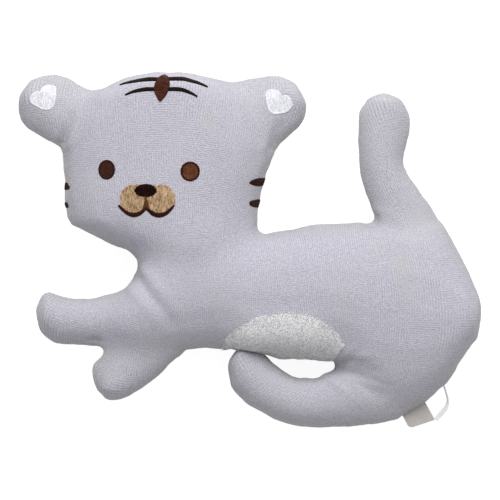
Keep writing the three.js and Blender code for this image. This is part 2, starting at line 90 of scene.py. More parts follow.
def activate(*objects: bpy.types.Object) -> None:
    """Selects only these objects and makes the first of them active."""
    bpy.ops.object.select_all(action="DESELECT")
    for obj in objects:
        obj.select_set(True)
    bpy.context.view_layer.objects.active = objects[0]


@contextmanager
def editing(obj: bpy.types.Object, chosen: np.ndarray | None = None, mode: str = "VERT") -> Iterator[None]:
    """Edit mode on one object with only the chosen vertices selected.

    Args:
        obj: The mesh object to edit.
        chosen: Which vertices are selected, none where it is left out.
        mode: The select mode, VERT, EDGE or FACE.
    """
    select_vertices(obj, np.zeros(len(obj.data.vertices), bool) if chosen is None else chosen)
    activate(obj)
    bpy.ops.object.mode_set(mode="EDIT")
    bpy.ops.mesh.select_mode(type=mode)
    yield
    bpy.ops.object.mode_set(mode="OBJECT")


def finish_with(obj: bpy.types.Object, kind: str, **settings: Any) -> None:
    """Adds a modifier to an object and applies it.

    Args:
        obj: The object to change.
        kind: The modifier's type.
        **settings: The modifier's properties.
    """
    activate(obj)
    modifier = obj.modifiers.new(kind.title(), kind)
    for name, value in settings.items():
        setattr(modifier, name, value)
    bpy.ops.object.modifier_apply(modifier=modifier.name)


def read(items: Any, name: str, width: int = 1, kind: type = float) -> np.ndarray:
    """One property of every item in a mesh's collection, one row each."""
    flat = np.zeros(len(items) * width, kind)
    items.foreach_get(name, flat)
    return flat.reshape(-1, width) if width > 1 else flat


def places(obj: bpy.types.Object) -> np.ndarray:
    """The places of a mesh's vertices, one row each."""
    return read(obj.data.vertices, "co", 3)


def place(obj: bpy.types.Object, points: np.ndarray) -> None:
    """Moves a mesh's vertices to new places, one row each."""
    obj.data.vertices.foreach_set("co", points.ravel())
    obj.data.update()


def directions(obj: bpy.types.Object) -> np.ndarray:
    """The outward directions at a mesh's vertices, one row each."""
    return read(obj.data.vertex_normals, "vector", 3)


def select_vertices(obj: bpy.types.Object, chosen: np.ndarray) -> None:
    """Selects the vertices, edges and faces that a row of truths chooses, outside edit mode."""
    mesh = obj.data
    mesh.vertices.foreach_set("select", chosen)
    mesh.edges.foreach_set("select", chosen[read(mesh.edges, "vertices", 2, int)].all(axis=1))
    corners = read(mesh.loops, "vertex_index", kind=int)
    starts = read(mesh.polygons, "loop_start", kind=int)
    mesh.polygons.foreach_set("select", np.logical_and.reduceat(chosen[corners], starts))


def linked(name: str, data: bpy.types.ID) -> bpy.types.Object:
    """A new object in the scene, at the origin, that holds some data."""
    obj = bpy.data.objects.new(name, data)
    bpy.context.scene.collection.objects.link(obj)
    return obj


def tree_over(*objects: bpy.types.Object) -> BVHTree:
    """A search tree over the faces of several meshes."""
    points: list[Vector] = []
    faces: list[list[int]] = []
    for obj in objects:
        first = len(points)
        points += [vertex.co.copy() for vertex in obj.data.vertices]
        faces += [[first + i for i in face.vertices] for face in obj.data.polygons]
    return BVHTree.FromPolygons(points, faces)


def new_mesh(name: str, points: np.ndarray, faces: Sequence[Sequence[int]]) -> bpy.types.Object:
    """A smooth mesh object at the origin.

    Args:
        name: The piece's name.
        points: The vertices' places, one row each.
        faces: The vertex numbers of each face.

    Returns:
        The new object.
    """
    mesh = bpy.data.meshes.new(name)
    mesh.from_pydata([tuple(point) for point in points], [], faces)
    mesh.polygons.foreach_set("use_smooth", [True] * len(mesh.polygons))
    return linked(name, mesh)


@dataclass(frozen=True)
class PhotoPlan:
    """The straight-down view that creases, stains and the camera are placed by."""

    pixel: float = 0.61 * MM
    middle: tuple[float, float] = (249.75, 250.25)
    centre: tuple[float, float] = (0.15 * MM, 0.15 * MM)
    seam_height: float = 25 * MM
    distance: float = 5.0

    def spot(self, x: float, y: float) -> Vector:
        """The place at seam height that a pixel shows."""
        across, up = x - self.middle[0], self.middle[1] - y
        return Vector((across * self.pixel, up * self.pixel, self.seam_height))


PLAN = PhotoPlan()


def smooth_line(points: np.ndarray, count: int) -> np.ndarray:
    """A smooth curve through some points.

    Args:
        points: The points, one row each; further columns are smoothed with them.
        count: How many rows the result has.

    Returns:
        The rows along the curve.
    """
    padded = np.concatenate([2 * points[:1] - points[1:2], points, 2 * points[-1:] - points[-2:-1]])
    steps = np.linspace(0, len(points) - 1, count)
    index = np.minimum(steps.astype(int), len(points) - 2)
    share = (steps - index)[:, None]
    before, start, end, after = (padded[index + offset] for offset in range(4))
    return 0.5 * (2 * start + (end - before) * share + (2 * before - 5 * start + 4 * end - after) * share**2
                  + (3 * start - before - 3 * end + after) * share**3)


class Recipe:
    """A material's node tree while it is put together."""

    def __init__(self, name: str) -> None:
        """Starts an empty material with its output and one shader."""
        self.material = bpy.data.materials.new(name)
        self.material.use_nodes = True
        self.tree = self.material.node_tree
        self.shader = self.tree.nodes["Principled BSDF"]
        self.solid = self.add("TexCoord").outputs["Object"]

    def add(self, kind: str, inputs: dict[Any, Any] | None = None, **settings: Any) -> bpy.types.Node:
        """Adds a node.

        Args:
            kind: The node's type, without its ShaderNode start.
            inputs: Values or sockets by input name or number.
            **settings: The node's properties.

        Returns:
            The new node.
        """
        node = self.tree.nodes.new(f"ShaderNode{kind}")
        for name, value in settings.items():
            setattr(node, name, value)
        self.feed(node, inputs or {})
        return node

    def feed(self, node: bpy.types.Node, inputs: dict[Any, Any]) -> None:
        """Sets or links a node's inputs."""
        for name, value in inputs.items():
            if isinstance(value, bpy.types.NodeSocket):
                self.tree.links.new(value, node.inputs[name])
            else:
                node.inputs[name].default_value = value

    def maths(self, operation: str, *values: Any, clamp: bool = False) -> bpy.types.NodeSocket:
        """The result of a Math node on values or sockets."""
        return self.add("Math", dict(enumerate(values)), operation=operation, use_clamp=clamp).outputs[0]

    def mix(self, share: Any, first: Any, second: Any, blend: str = "MIX") -> bpy.types.NodeSocket:
        """The colour that a share of the second colour gives on the first."""
        node = self.add("Mix", data_type="RGBA", blend_type=blend)
        self.feed(node, {0: share, 6: first, 7: second})
        return node.outputs[2]

    def noise(self, where: Any, size: float, detail: float = 2.0, rough: float = 0.5) -> bpy.types.NodeSocket:
        """Noise with spots of a real size."""
        return self.add("TexNoise", {"Vector": where, "Scale": 1 / size, "Detail": detail,
                                     "Roughness": rough}).outputs["Fac"]

    def wave(self, where: Any, period: float, direction: str, distortion: float,
             **rough: float) -> bpy.types.NodeSocket:
        """Lines a real period apart along one direction, wavy by the distortion."""
        inputs = {"Vector": where, "Scale": math.pi / 10 / period, "Distortion": distortion, **rough}
        return self.add("TexWave", inputs, bands_direction=direction).outputs["Fac"]

    def surface(self, colour: Any, height: Any, strength: float, distance: float, rough: float,
                specular: float, **more: Any) -> bpy.types.Material:
        """Feeds the shader with a colour, a relief and a gloss.

        Args:
            colour: The colour's socket.
            height: The relief's socket.
            strength: How strongly the relief is shaded.
            distance: How high the relief stands.
            rough: The surface's roughness.
            specular: The level of its reflections.
            **more: Further inputs of the shader, with underscores for spaces.

        Returns:
            The finished material.
        """
        bump = self.add("Bump", {"Height": height, "Strength": strength, "Distance": distance})
        self.feed(self.shader, {"Base Color": colour, "Normal": bump.outputs["Normal"], "Roughness": rough,
                                "Specular IOR Level": specular,
                                **{name.replace("_", " "): value for name, value in more.items()}})
        return self.material

    def between(self, value: Any, low: float, high: float) -> bpy.types.NodeSocket:
        """A value spread evenly from 0 at a low bound to 1 at a high one."""
        return self.add("MapRange", {"Value": value, "From Min": low, "From Max": high}).outputs["Result"]


@dataclass(frozen=True)
class Stain:
    """A faint yellowish spot in the cloth."""

    pixel: tuple[float, float]
    radius: float
    strength: float


@dataclass(frozen=True)
class TerryKnit:
    """Short looped terry knit in fine wales and courses, whose pattern follows the flat panel."""

    colour: Colour = (0.700, 0.683, 0.775, 1.0)
    # painted shade: the colour of the loop hollows
    painted_hollow_shade: Colour = (0.385, 0.372, 0.432, 1.0)
    worn: Colour = (0.600, 0.585, 0.610, 1.0)
    stain: Colour = (0.555, 0.560, 0.515, 1.0)
    # painted shade on the lower sides, slightly yellow
    painted_low_shade: Colour = (0.930, 0.940, 0.880, 1.0)
    painted_low_shade_height: float = 18 * MM
    wale: float = 1.2 * MM
    course: float = 1.0 * MM
    loop: float = 0.75 * MM
    relief: float = 0.42 * MM
    stains: tuple[Stain, ...] = (
        Stain((207, 121), 8 * MM, 0.45),
        Stain((378, 247), 6 * MM, 0.4),
        Stain((402, 268), 9 * MM, 0.5),
        Stain((404, 288), 7 * MM, 0.35),
        Stain((389, 104), 5 * MM, 0.4),
        Stain((366, 118), 3 * MM, 0.25),
    )

    def material(self) -> bpy.types.Material:
        """The knit's material."""
        recipe = Recipe("terry_knit")
        flat = recipe.add("UVMap", uv_map=PanelPattern.NAME).outputs["UV"]
        solid = recipe.solid
        loops = recipe.between(recipe.noise(solid, self.loop, detail=2.0, rough=0.75), 0.3, 0.7)
        lines = self._lines(recipe, flat, solid)
        height = recipe.maths("MULTIPLY_ADD", loops, 0.68, recipe.maths("MULTIPLY", lines, 0.32))
        # The low parts of the relief take the darker colour: painted shade in the loop hollows.
        tone = recipe.mix(recipe.between(height, 0.15, 0.85), self.painted_hollow_shade, self.colour)
        patches = recipe.between(recipe.noise(solid, 30 * MM, detail=3.0), 0.42, 0.72)
        tone = recipe.mix(recipe.maths("MULTIPLY", patches, 0.3), tone, self.worn)
        # Painted shade: the colour darkens and yellows from this height above the side seam down to the seam
        # and below it.
        level = recipe.add("SeparateXYZ", {0: solid}).outputs["Z"]
        low = recipe.between(level, PLAN.seam_height + self.painted_low_shade_height, PLAN.seam_height)
        tone = recipe.mix(low, tone, self.painted_low_shade, "MULTIPLY")
        for stain in self.stains:
            tone = recipe.mix(self._stain_share(recipe, solid, stain), tone, self.stain)
        return recipe.surface(tone, height, 0.75, self.relief, 0.92, 0.18, Sheen_Weight=0.22,
                              Sheen_Roughness=0.45)

    def _lines(self, recipe: Recipe, flat: Any, solid: Any) -> bpy.types.NodeSocket:
        """Wales that stand out in some places and courses in others."""
        wales = self._ribs(recipe, flat, "X", self.wale)
        courses = self._ribs(recipe, flat, "Y", self.course)
        share = recipe.between(recipe.noise(solid, 16 * MM, detail=2.0), 0.4, 0.6)
        return recipe.maths("MULTIPLY_ADD", share, recipe.maths("SUBTRACT", wales, courses), courses)

    def _ribs(self, recipe: Recipe, where: Any, axis: str, period: float) -> bpy.types.NodeSocket:
        """Rounded lines along one way of the cloth, wavy and broken."""
        rough = {"Detail": 2.0, "Detail Scale": 1.1, "Detail Roughness": 0.6}
        return recipe.wave(where, period, axis, 3.4, **rough)

    def _stain_share(self, recipe: Recipe, where: Any, stain: Stain) -> bpy.types.NodeSocket:
        """How much of the cloth's colour a stain takes at each place."""
        centre = PLAN.spot(*stain.pixel)
        offset = recipe.add("VectorMath", {0: where, 1: centre}, operation="SUBTRACT").outputs[0]
        level = recipe.add("VectorMath", {0: offset, 1: (1.0, 1.0, 0.0)}, operation="MULTIPLY").outputs[0]
        distance = recipe.add("VectorMath", {0: level}, operation="LENGTH").outputs["Value"]
        ragged = recipe.maths("MULTIPLY_ADD", recipe.noise(where, 5 * MM), 7 * MM, distance)
        nearness = recipe.between(ragged, stain.radius + 4 * MM, 2 * MM)
        return recipe.maths("MULTIPLY", nearness, stain.strength, clamp=True)


@dataclass(frozen=True)
class Thread:
    """Embroidery thread: fine twisted strands with a soft gloss."""

    name: str
    colour: Colour
    shade: Colour
    gloss: float = 0.5
    shine: float = 0.12

    def material(self) -> bpy.types.Material:
        """The thread's material."""
        recipe = Recipe(self.name)
        solid = recipe.solid
        strands = recipe.noise(solid, 0.35 * MM, detail=2.0)
        drift = recipe.noise(solid, 3.5 * MM, detail=1.0)
        own = recipe.add("Attribute", attribute_name=Strand.TONE).outputs["Fac"]
        mottle = recipe.maths("ADD", recipe.maths("ADD", strands, drift), own)
        share = recipe.between(mottle, 0.9, 2.1)
        tone = recipe.mix(share, self.shade, self.colour)
        return recipe.surface(tone, strands, 0.5, 0.08 * MM, self.gloss, self.shine)


@dataclass(frozen=True)
class LoosePile:
    """Longer, curlier terry in a creamy white."""

    colour: Colour = (0.975, 0.965, 0.985, 1.0)
    shade: Colour = (0.780, 0.770, 0.780, 1.0)
    wale: float = 1.2 * MM

    def material(self) -> bpy.types.Material:
        """The pile's material."""
        recipe = Recipe("loose_pile")
        solid = recipe.solid
        curls = recipe.noise(solid, 0.9 * MM, detail=3.0, rough=0.6)
        wales = recipe.wave(solid, self.wale, "X", 3.0, Detail=2.0)
        own = recipe.add("Attribute", attribute_name=Strand.TONE).outputs["Fac"]
        height = recipe.maths("MULTIPLY_ADD", wales, 0.2, recipe.maths("MULTIPLY_ADD", own, 0.2, curls))
        # The low parts of the relief take the shade colour: painted shade between the curls and wales, mixed
        # with each fibre's own random tone.
        tone = recipe.mix(recipe.between(height, 0.35, 0.85), self.shade, self.colour)
        return recipe.surface(tone, height, 0.6, 0.2 * MM, 0.95, 0.15, Sheen_Weight=1.0)


@dataclass(frozen=True)
class Tape:
    """Woven tape with fine ribs across it."""

    name: str
    colour: Colour
    shade: Colour
    rib: float = 0.45 * MM
    gloss: float = 0.6

    def material(self) -> bpy.types.Material:
        """The tape's material."""
        recipe = Recipe(self.name)
        solid = recipe.solid
        weave = recipe.wave(solid, self.rib, "DIAGONAL", 0.6, Detail=1.0)
        worn = recipe.noise(solid, 4 * MM, detail=3.0)
        share = recipe.maths("MULTIPLY_ADD", weave, 0.4, recipe.maths("MULTIPLY", worn, 0.8))
        tone = recipe.mix(share, self.shade, self.colour)
        return recipe.surface(tone, weave, 0.5, 0.1 * MM, self.gloss, 0.3)


TERRY = TerryKnit()
LEFT_EYE_FILL = Thread("left_eye_thread", (0.068, 0.020, 0.008, 1.0), (0.038, 0.010, 0.005, 1.0))
RIGHT_EYE_FILL = Thread("right_eye_thread", (0.185, 0.062, 0.024, 1.0), (0.058, 0.018, 0.010, 1.0))
EYE_RIM = Thread("eye_rim_thread", (0.042, 0.010, 0.007, 1.0), (0.018, 0.006, 0.005, 1.0))
NOSE_THREAD = Thread("nose_thread", (0.020, 0.0045, 0.003, 1.0), (0.007, 0.0015, 0.001, 1.0), 0.5, 0.07)
MOUTH_THREAD = Thread("mouth_thread", (0.048, 0.012, 0.008, 1.0), (0.014, 0.004, 0.003, 1.0), 0.5, 0.08)
PHILTRUM_THREAD = Thread("philtrum_thread", (0.160, 0.070, 0.015, 1.0), (0.062, 0.026, 0.008, 1.0))
MUZZLE_THREAD = Thread("muzzle_thread", (0.680, 0.480, 0.300, 1.0), (0.225, 0.130, 0.062, 1.0))
SPOT_THREAD = Thread("forehead_spot_thread", (0.098, 0.028, 0.014, 1.0), (0.045, 0.011, 0.006, 1.0))
STRIPE_THREAD = Thread("stripe_thread", (0.022, 0.010, 0.010, 1.0), (0.007, 0.003, 0.003, 1.0), 0.5, 0.07)
CHEEK_THREAD = Thread("cheek_stripe_thread", (0.046, 0.018, 0.012, 1.0), (0.016, 0.006, 0.005, 1.0), 0.5,
                      0.08)
HEART_THREAD = Thread("heart_thread", (0.965, 0.965, 1.000, 1.0), (0.720, 0.720, 0.790, 1.0), 0.38, 0.4)
LABEL_TAPE = Tape("label_tape", (0.610, 0.578, 0.547, 1.0), (0.480, 0.452, 0.422, 1.0))
RIBBON_TAPE = Tape("ribbon_tape", (0.960, 0.950, 0.965, 1.0), (0.820, 0.810, 0.830, 1.0), 0.3 * MM, 0.35)


class PanelPattern:
    """The flat pattern of each panel, laid back on the plan, which the knit is drawn on."""

    NAME = "panel_pattern"

    @classmethod
    def cut(cls, cover: bpy.types.Object) -> None:
        """Unwraps the cover at its side seam and brings both panels back to plan size.

        Args:
            cover: The cover, whose side seam is marked.
        """
        cover.data.uv_layers.new(name=cls.NAME)
        with editing(cover, mode="FACE"):
            bpy.ops.mesh.select_all(action="SELECT")
            bpy.ops.uv.unwrap(method="ANGLE_BASED", margin=0.01)
        mesh = cover.data
        corners = read(mesh.loops, "vertex_index", kind=int)
        layer = mesh.uv_layers[cls.NAME].uv
        flat = read(layer, "vector", 2)
        heights = np.array([face.center.z for face in mesh.polygons])
        counts = np.array([face.loop_total for face in mesh.polygons])
        in_front = np.repeat(heights > PLAN.seam_height, counts)
        plan = places(cover)[corners, :2]
        for panel in (in_front, ~in_front):
            flat[panel] = cls._laid_on_plan(flat[panel], plan[panel])
        layer.foreach_set("vector", flat.ravel())

    @staticmethod
    def _laid_on_plan(flat: np.ndarray, plan: np.ndarray) -> np.ndarray:
        """The flat pattern turned, scaled and moved, or turned over, to lie closest to its plan."""
        target = plan[:, 0] + 1j * plan[:, 1]
        best = None
        for source in (flat[:, 0] + 1j * flat[:, 1], flat[:, 0] - 1j * flat[:, 1]):
            rows = np.stack([source, np.ones_like(source)], axis=1)
            turn, misfit, _, _ = np.linalg.lstsq(rows, target, rcond=None)
            fitted = rows @ turn
            error = float(np.abs(fitted - target).sum())
            if best is None or error < best[0]:
                best = (error, fitted)
        return np.stack([best[1].real, best[1].imag], axis=1)


@dataclass(frozen=True)
class Crease:
    """A soft fold in the front panel, deepest at its start and fading out."""

    start: tuple[float, float]
    end: tuple[float, float]
    depth: float
    width: float


@dataclass(frozen=True)
class Swell:
    """A spot of the outline where the filling presses the cloth out, or where the seam draws it in."""

    pixel: tuple[float, float]
    distance: float
    reach: float

    @classmethod
    def rows(cls, table: Sequence[tuple[float, float, float, float]]) -> "tuple[Swell, ...]":
        """The swells of a table: pixel column and row, then distance and reach in millimetres."""
        return tuple(cls((x, y), distance * MM, reach * MM) for x, y, distance, reach in table)


@dataclass(frozen=True)
class Root:
    """A soft root where one section is carried by another.

    The cover is divided between two notches of the outline, and smoothed over reach from there.
    """

    limb: Section
    carrier: Section
    joint: str
    notches: tuple[tuple[float, float], tuple[float, float]]
    reach: float
    easing: int
    overrun: float = 9 * MM

    def along(self) -> Vector:
        """The direction from the first notch to the second."""
        return (PLAN.spot(*self.notches[1]) - PLAN.spot(*self.notches[0])).normalized()

    def outward(self) -> Vector:
        """The direction in plan across the dividing line, towards the limb."""
        low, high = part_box(f"{self.limb.value}_front_panel")
        across = self.along().cross(UP)
        return across if across.dot((low + high) / 2 - self.start()) > 0 else -across

    def start(self) -> Vector:
        """The middle of the dividing line."""
        return (PLAN.spot(*self.notches[0]) + PLAN.spot(*self.notches[1])) / 2

    def end(self) -> Vector:
        """The point at reach from the dividing line's middle, towards the limb."""
        return self.start() + self.outward() * self.reach

    def half_span(self) -> float:
        """Half the length of the dividing line."""
        return (PLAN.spot(*self.notches[1]) - self.start()).length

    def near(self, points: np.ndarray, margin: float) -> np.ndarray:
        """Which points lie within a margin of the dividing plane, between the notches."""
        offset = points - np.array(self.start())
        return (np.abs(offset @ np.array(self.outward())) < margin) & (
            np.abs(offset @ np.array(self.along())) < self.half_span() + self.overrun
        )


@dataclass
class StuffedCover:
    """The terry cover over all stuffed sections: one front panel and one back panel, sewn and filled."""

    voxel: float = 2.0 * MM
    overlap: float = 1.2 * MM
    bridging: int = 2
    bridge_step: float = 2.0 * MM
    pressure: float = 4.0
    stiffness: float = 12
    shear_stiffness: float = 4
    bending_stiffness: float = 0.4
    filling_steps: int = 20
    stretch_limit: float = 1.5 * MM
    lip_share: float = 0.35
    lip_place: float = 1.9
    seam_depth: float = 1.1 * MM
    seam_width: float = 0.9 * MM
    pucker_depth: float = 0.45 * MM
    pucker_length: float = 7.0 * MM
    pucker_reach: float = 6.0 * MM
    tip_hold: float = 4.5 * MM
    tip_hold_pixels: tuple[float, float] = (332, 275)
    tip_swell: float = 2.6 * MM
    tip_swell_pixels: tuple[float, float] = (396, 362)
    slot_line: tuple[tuple[float, float], tuple[float, float]] = ((240, 357), (332, 367))
    outline_reach: float = 7 * MM
    bulges: tuple[Swell, ...] = Swell.rows((
        (246, 338, 2.3, 13.0), (268, 333, 2.3, 13.0), (291, 332, 2.3, 13.0), (313, 336, 2.2, 13.0),
    ))
    bulge_level: float = 12 * MM
    usual_offset: float = 0.9 * MM
    widest_offset: float = 3.5 * MM
    nap: float = 0.6 * MM
    notch_height: float = 1.8
    roots: tuple[Root, ...] = (
        Root(Section.HEAD, Section.TORSO, "neck_flex", ((135, 262), (258, 232)), 20 * MM, 60),
        Root(Section.LEFT_EAR, Section.HEAD, "left_ear_flex", ((88, 93), (63, 153)), 12 * MM, 24),
        Root(Section.RIGHT_EAR, Section.HEAD, "right_ear_flex", ((236, 92), (268, 158)), 12 * MM, 24),
        Root(Section.REACHING_FORELEG, Section.TORSO, "reaching_foreleg_flex", ((118, 294), (95, 351)),
             14 * MM, 30),
        Root(Section.LOWERED_FORELEG, Section.TORSO, "lowered_foreleg_flex", ((95, 351), (165, 357)),
             14 * MM, 30),
        Root(Section.HIND_LEG, Section.TORSO, "hind_leg_flex", ((333, 370), (404, 418)), 24 * MM, 36),
        Root(Section.TAIL, Section.TORSO, "tail_flex", ((372, 215), (446, 211)), 16 * MM, 30),
    )
    creases: tuple[Crease, ...] = (
        Crease((136, 277), (178, 330), 2.3 * MM, 3.6 * MM),
        Crease((338, 372), (386, 399), 1.5 * MM, 3.6 * MM),
        Crease((340, 366), (384, 373), 2.0 * MM, 4.2 * MM),
        Crease((340, 364), (362, 350), 0.9 * MM, 2.4 * MM),
        Crease((337, 369), (396, 387), 0.8 * MM, 2.0 * MM),
        Crease((336, 376), (368, 404), 0.7 * MM, 2.0 * MM),
        Crease((341, 361), (378, 361), 0.7 * MM, 2.0 * MM),
        Crease((372, 222), (418, 236), 1.3 * MM, 4.0 * MM),
        Crease((62, 143), (74, 111), 2.6 * MM, 2.6 * MM),
        Crease((273, 150), (280, 120), 1.8 * MM, 3.0 * MM),
    )
    swells: tuple[Swell, ...] = Swell.rows((
        (261, 235, -5.2, 5.0), (257, 228, -1.3, 3.5), (279, 233, -0.8, 6.0), (296, 229, -0.5, 6.0),
        (313, 225, 0.8, 6.0), (182, 74, 0.7, 8.0), (252, 79, 0.6, 5.0), (301, 122, 0.5, 5.0),
        (372, 220, -5.0, 4.5), (96, 345, -5.6, 4.0), (91, 345, -0.8, 3.5), (103, 351, 0.7, 2.5),
        (98, 359, 1.4, 4.0), (231, 353, -2.5, 4.0), (229, 361, -0.7, 3.5), (128, 284, -1.4, 8.0),
        (138, 264, -0.7, 6.0), (94, 382, -2.0, 5.5), (94, 367, 0.7, 5.5), (119, 400, 1.7, 8.0),
        (165, 368, 1.5, 4.5), (403, 167, -1.4, 7.0), (408, 131, 1.1, 9.0), (361, 174, 0.9, 8.0),
        (366, 192, 0.5, 5.0), (404, 105, 0.6, 6.0), (399, 101, -0.6, 4.0), (360, 110, 0.7, 4.0),
        (65, 181, -0.6, 4.0), (42, 295, 0.5, 4.0), (214, 348, 0.6, 8.0), (431, 210, 0.8, 6.0),
        (327, 224, 0.9, 13.0), (67, 215, 1.2, 7.0), (25, 124, 1.6, 8.0), (46, 138, 0.8, 6.0),
        (71, 80, 1.6, 9.0), (56, 75, 0.5, 5.0), (86, 89, 0.8, 5.0), (107, 87, -1.1, 5.0),
        (136, 76, -0.7, 9.0), (170, 73, -0.8, 13.0), (298, 90, -0.8, 8.0), (275, 149, 0.8, 5.0),
        (266, 176, -0.9, 6.0), (335, 427, -0.6, 9.0), (300, 425, -0.6, 9.0), (266, 414, -0.8, 9.0),
        (183, 353, -0.8, 8.0), (68, 298, -0.7, 8.0), (92, 299, -0.7, 8.0), (112, 294, -0.5, 8.0),
        (206, 347, -0.9, 7.0), (42, 330, 1.0, 8.0), (63, 344, 0.5, 9.0), (42, 294, 0.8, 4.0),
        (37, 310, 0.6, 7.0), (113, 245, 0.9, 7.0), (395, 419, 1.0, 7.0), (450, 377, 0.8, 6.0),
        (476, 337, 0.7, 5.0), (281, 355, 2.0, 6.0), (297, 356, 0.9, 6.0), (273, 366, -1.3, 5.0),
        (288, 376, -0.9, 5.0), (303, 380, -0.5, 6.0), (319, 378, -0.9, 6.0), (332, 366, -1.6, 5.0),
    ))
    cover: bpy.types.Object = field(init=False)

    def make(self) -> dict[Section, bpy.types.Object]:
        """Makes the cover and divides it at its roots.

        Returns:
            The finished piece of cover for each section.
        """
        self.cover = self._fused()
        self._ease_roots()
        self._mark_seam()
        PanelPattern.cut(self.cover)
        self._fill()
        finish_with(self.cover, "SUBSURF", levels=1, render_levels=1)
        self._fold()
        self._bulge()
        self._meet_outline()
        self._sew()
        self._rest_on_table()
        self.cover.data.polygons.foreach_set("use_smooth", [True] * len(self.cover.data.polygons))
        return self._divided()

    def _solid(self, sections: Sequence[Section]) -> bpy.types.Object:
        """One closed surface over the panels and fillings of some sections."""
        copies = [linked(f"pattern_{node}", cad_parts[node].data.copy())
                  for section in sections for node in section.nodes()]
        activate(*copies)
        bpy.ops.object.join()
        solid = copies[0]
        with editing(solid):
            bpy.ops.mesh.select_all(action="SELECT")
            bpy.ops.mesh.remove_doubles(threshold=0.01 * MM)
        finish_with(solid, "DISPLACE", strength=self.overlap, mid_level=0)
        finish_with(solid, "REMESH", mode="VOXEL", voxel_size=self.voxel)
        return solid

    def _fused(self) -> bpy.types.Object:
        """The closed surface over all sections, with the grooves at the roots bridged."""
        body = self._solid([section for section in Section if section is not Section.HIND_LEG])
        for _ in range(self.bridging):
            finish_with(body, "DISPLACE", strength=self.bridge_step, mid_level=0)
            finish_with(body, "REMESH", mode="VOXEL", voxel_size=self.voxel)
        finish_with(body, "SMOOTH", factor=0.5, iterations=4)
        for _ in range(2 * self.bridging):
            finish_with(body, "DISPLACE", strength=-self.bridge_step / 2, mid_level=0)
            finish_with(body, "SMOOTH", factor=0.5, iterations=1)
        leg = self._solid([Section.HIND_LEG])
        self._shift_tip(leg, -self.tip_hold)
        activate(body, leg)
        bpy.ops.object.join()
        finish_with(body, "REMESH", mode="VOXEL", voxel_size=self.voxel)
        finish_with(body, "SMOOTH", factor=0.5, iterations=3)
        finish_with(body, "DISPLACE", strength=-self.overlap, mid_level=0)
        finish_with(body, "SMOOTH", factor=0.5, iterations=3)
        body.name = body.data.name = "cover"
        return body

    def _tip_share(self, points: np.ndarray) -> np.ndarray:
        """How far along the hind leg each point lies, from 0 at the leg's middle to 1 at its tip."""
        first, last = (PLAN.spot(x, 0).x for x in self.tip_hold_pixels)
        share = np.clip((points[:, 0] - first) / (last - first), 0, 1)
        return share**2 * (3 - 2 * share)

    def _shift_tip(self, leg: bpy.types.Object, distance: float) -> None:
        """Draws the hind leg's tip away from the belly while the cover is made, or lays it back.

        Args:
            leg: The hind leg's mesh.
            distance: How far the tip moves along +Y.
        """
        points = places(leg)
        points[:, 1] += distance * self._tip_share(points)
        place(leg, points)

    def _swell_tip(self, leg: bpy.types.Object) -> None:
        """Swells the upper side of the hind leg's tip until it leans on the belly."""
        low, high = (PLAN.spot(0, y).y for y in self.tip_swell_pixels)
        points = places(leg)
        upper = np.clip((points[:, 1] - low) / (high - low), 0, 1)
        points[:, 1] += self.tip_swell * self._tip_share(points) * upper**2 * (3 - 2 * upper)
        place(leg, points)

    def _ease_roots(self) -> None:
        """Smooths the cover over each root, where no seam holds it."""
        for root in self.roots:
            points = places(self.cover)
            offset = points - np.array(root.start())
            across = np.abs(offset @ np.array(root.outward())) / (1.1 * root.reach + 10 * MM)
            along = np.abs(offset @ np.array(root.along())) / (root.half_span() + 12 * MM)
            away = np.abs(points[:, 2] - PLAN.seam_height) / (9 * MM)
            share = np.clip(1 - np.maximum(across, along), 0, 1) * np.clip(away - 0.2, 0, 1)
            group = self.cover.vertex_groups.new(name=root.joint)
            for index in np.flatnonzero(share > 0.01):
                group.add([int(index)], float(min(1.0, 2 * share[index])), "REPLACE")
            finish_with(self.cover, "SMOOTH", factor=0.6, iterations=root.easing, vertex_group=group.name)
        self.cover.vertex_groups.clear()

    def _mark_seam(self) -> None:
        """Draws the side seam round the cover at half height and marks it."""
        with editing(self.cover):
            bpy.ops.mesh.select_all(action="SELECT")
            bpy.ops.mesh.bisect(plane_co=(0, 0, PLAN.seam_height), plane_no=UP)
            bpy.ops.mesh.mark_seam(clear=False)
            bpy.ops.mesh.select_all(action="SELECT")
            bpy.ops.mesh.remove_doubles(threshold=0.3 * MM)
        group = self.cover.vertex_groups.new(name="seam")
        on_seam = np.abs(places(self.cover)[:, 2] - PLAN.seam_height) < 0.4 * MM
        group.add([int(i) for i in np.flatnonzero(on_seam)], 1.0, "REPLACE")

    def _fill(self) -> None:
        """Blows the cover up from inside, with the seam held, and caps how far the cloth moves."""
        before = places(self.cover)
        activate(self.cover)
        cloth = self.cover.modifiers.new("Cloth", "CLOTH")
        settings = cloth.settings
        settings.quality = 5
        settings.use_pressure = True
        settings.uniform_pressure_force = self.pressure
        settings.effector_weights.gravity = 0
        settings.tension_stiffness = settings.compression_stiffness = self.stiffness
        settings.shear_stiffness = self.shear_stiffness
        settings.bending_stiffness = self.bending_stiffness
        settings.shrink_min = 0.0
        settings.vertex_group_mass = "seam"
        cloth.collision_settings.use_collision = False
        scene = bpy.context.scene
        for step in range(1, self.filling_steps + 1):
            scene.frame_set(step)
        graph = bpy.context.evaluated_depsgraph_get()
        filled = read(self.cover.evaluated_get(graph).to_mesh().vertices, "co", 3)
        self.cover.modifiers.remove(cloth)
        scene.frame_set(1)
        moved = np.stack([self._evened(column, 8) for column in (filled - before).T], axis=1)
        length = np.linalg.norm(moved, axis=1, keepdims=True)
        capped = self.stretch_limit * np.tanh(length / self.stretch_limit)
        place(self.cover, before + moved * capped / np.maximum(length, 1e-9))

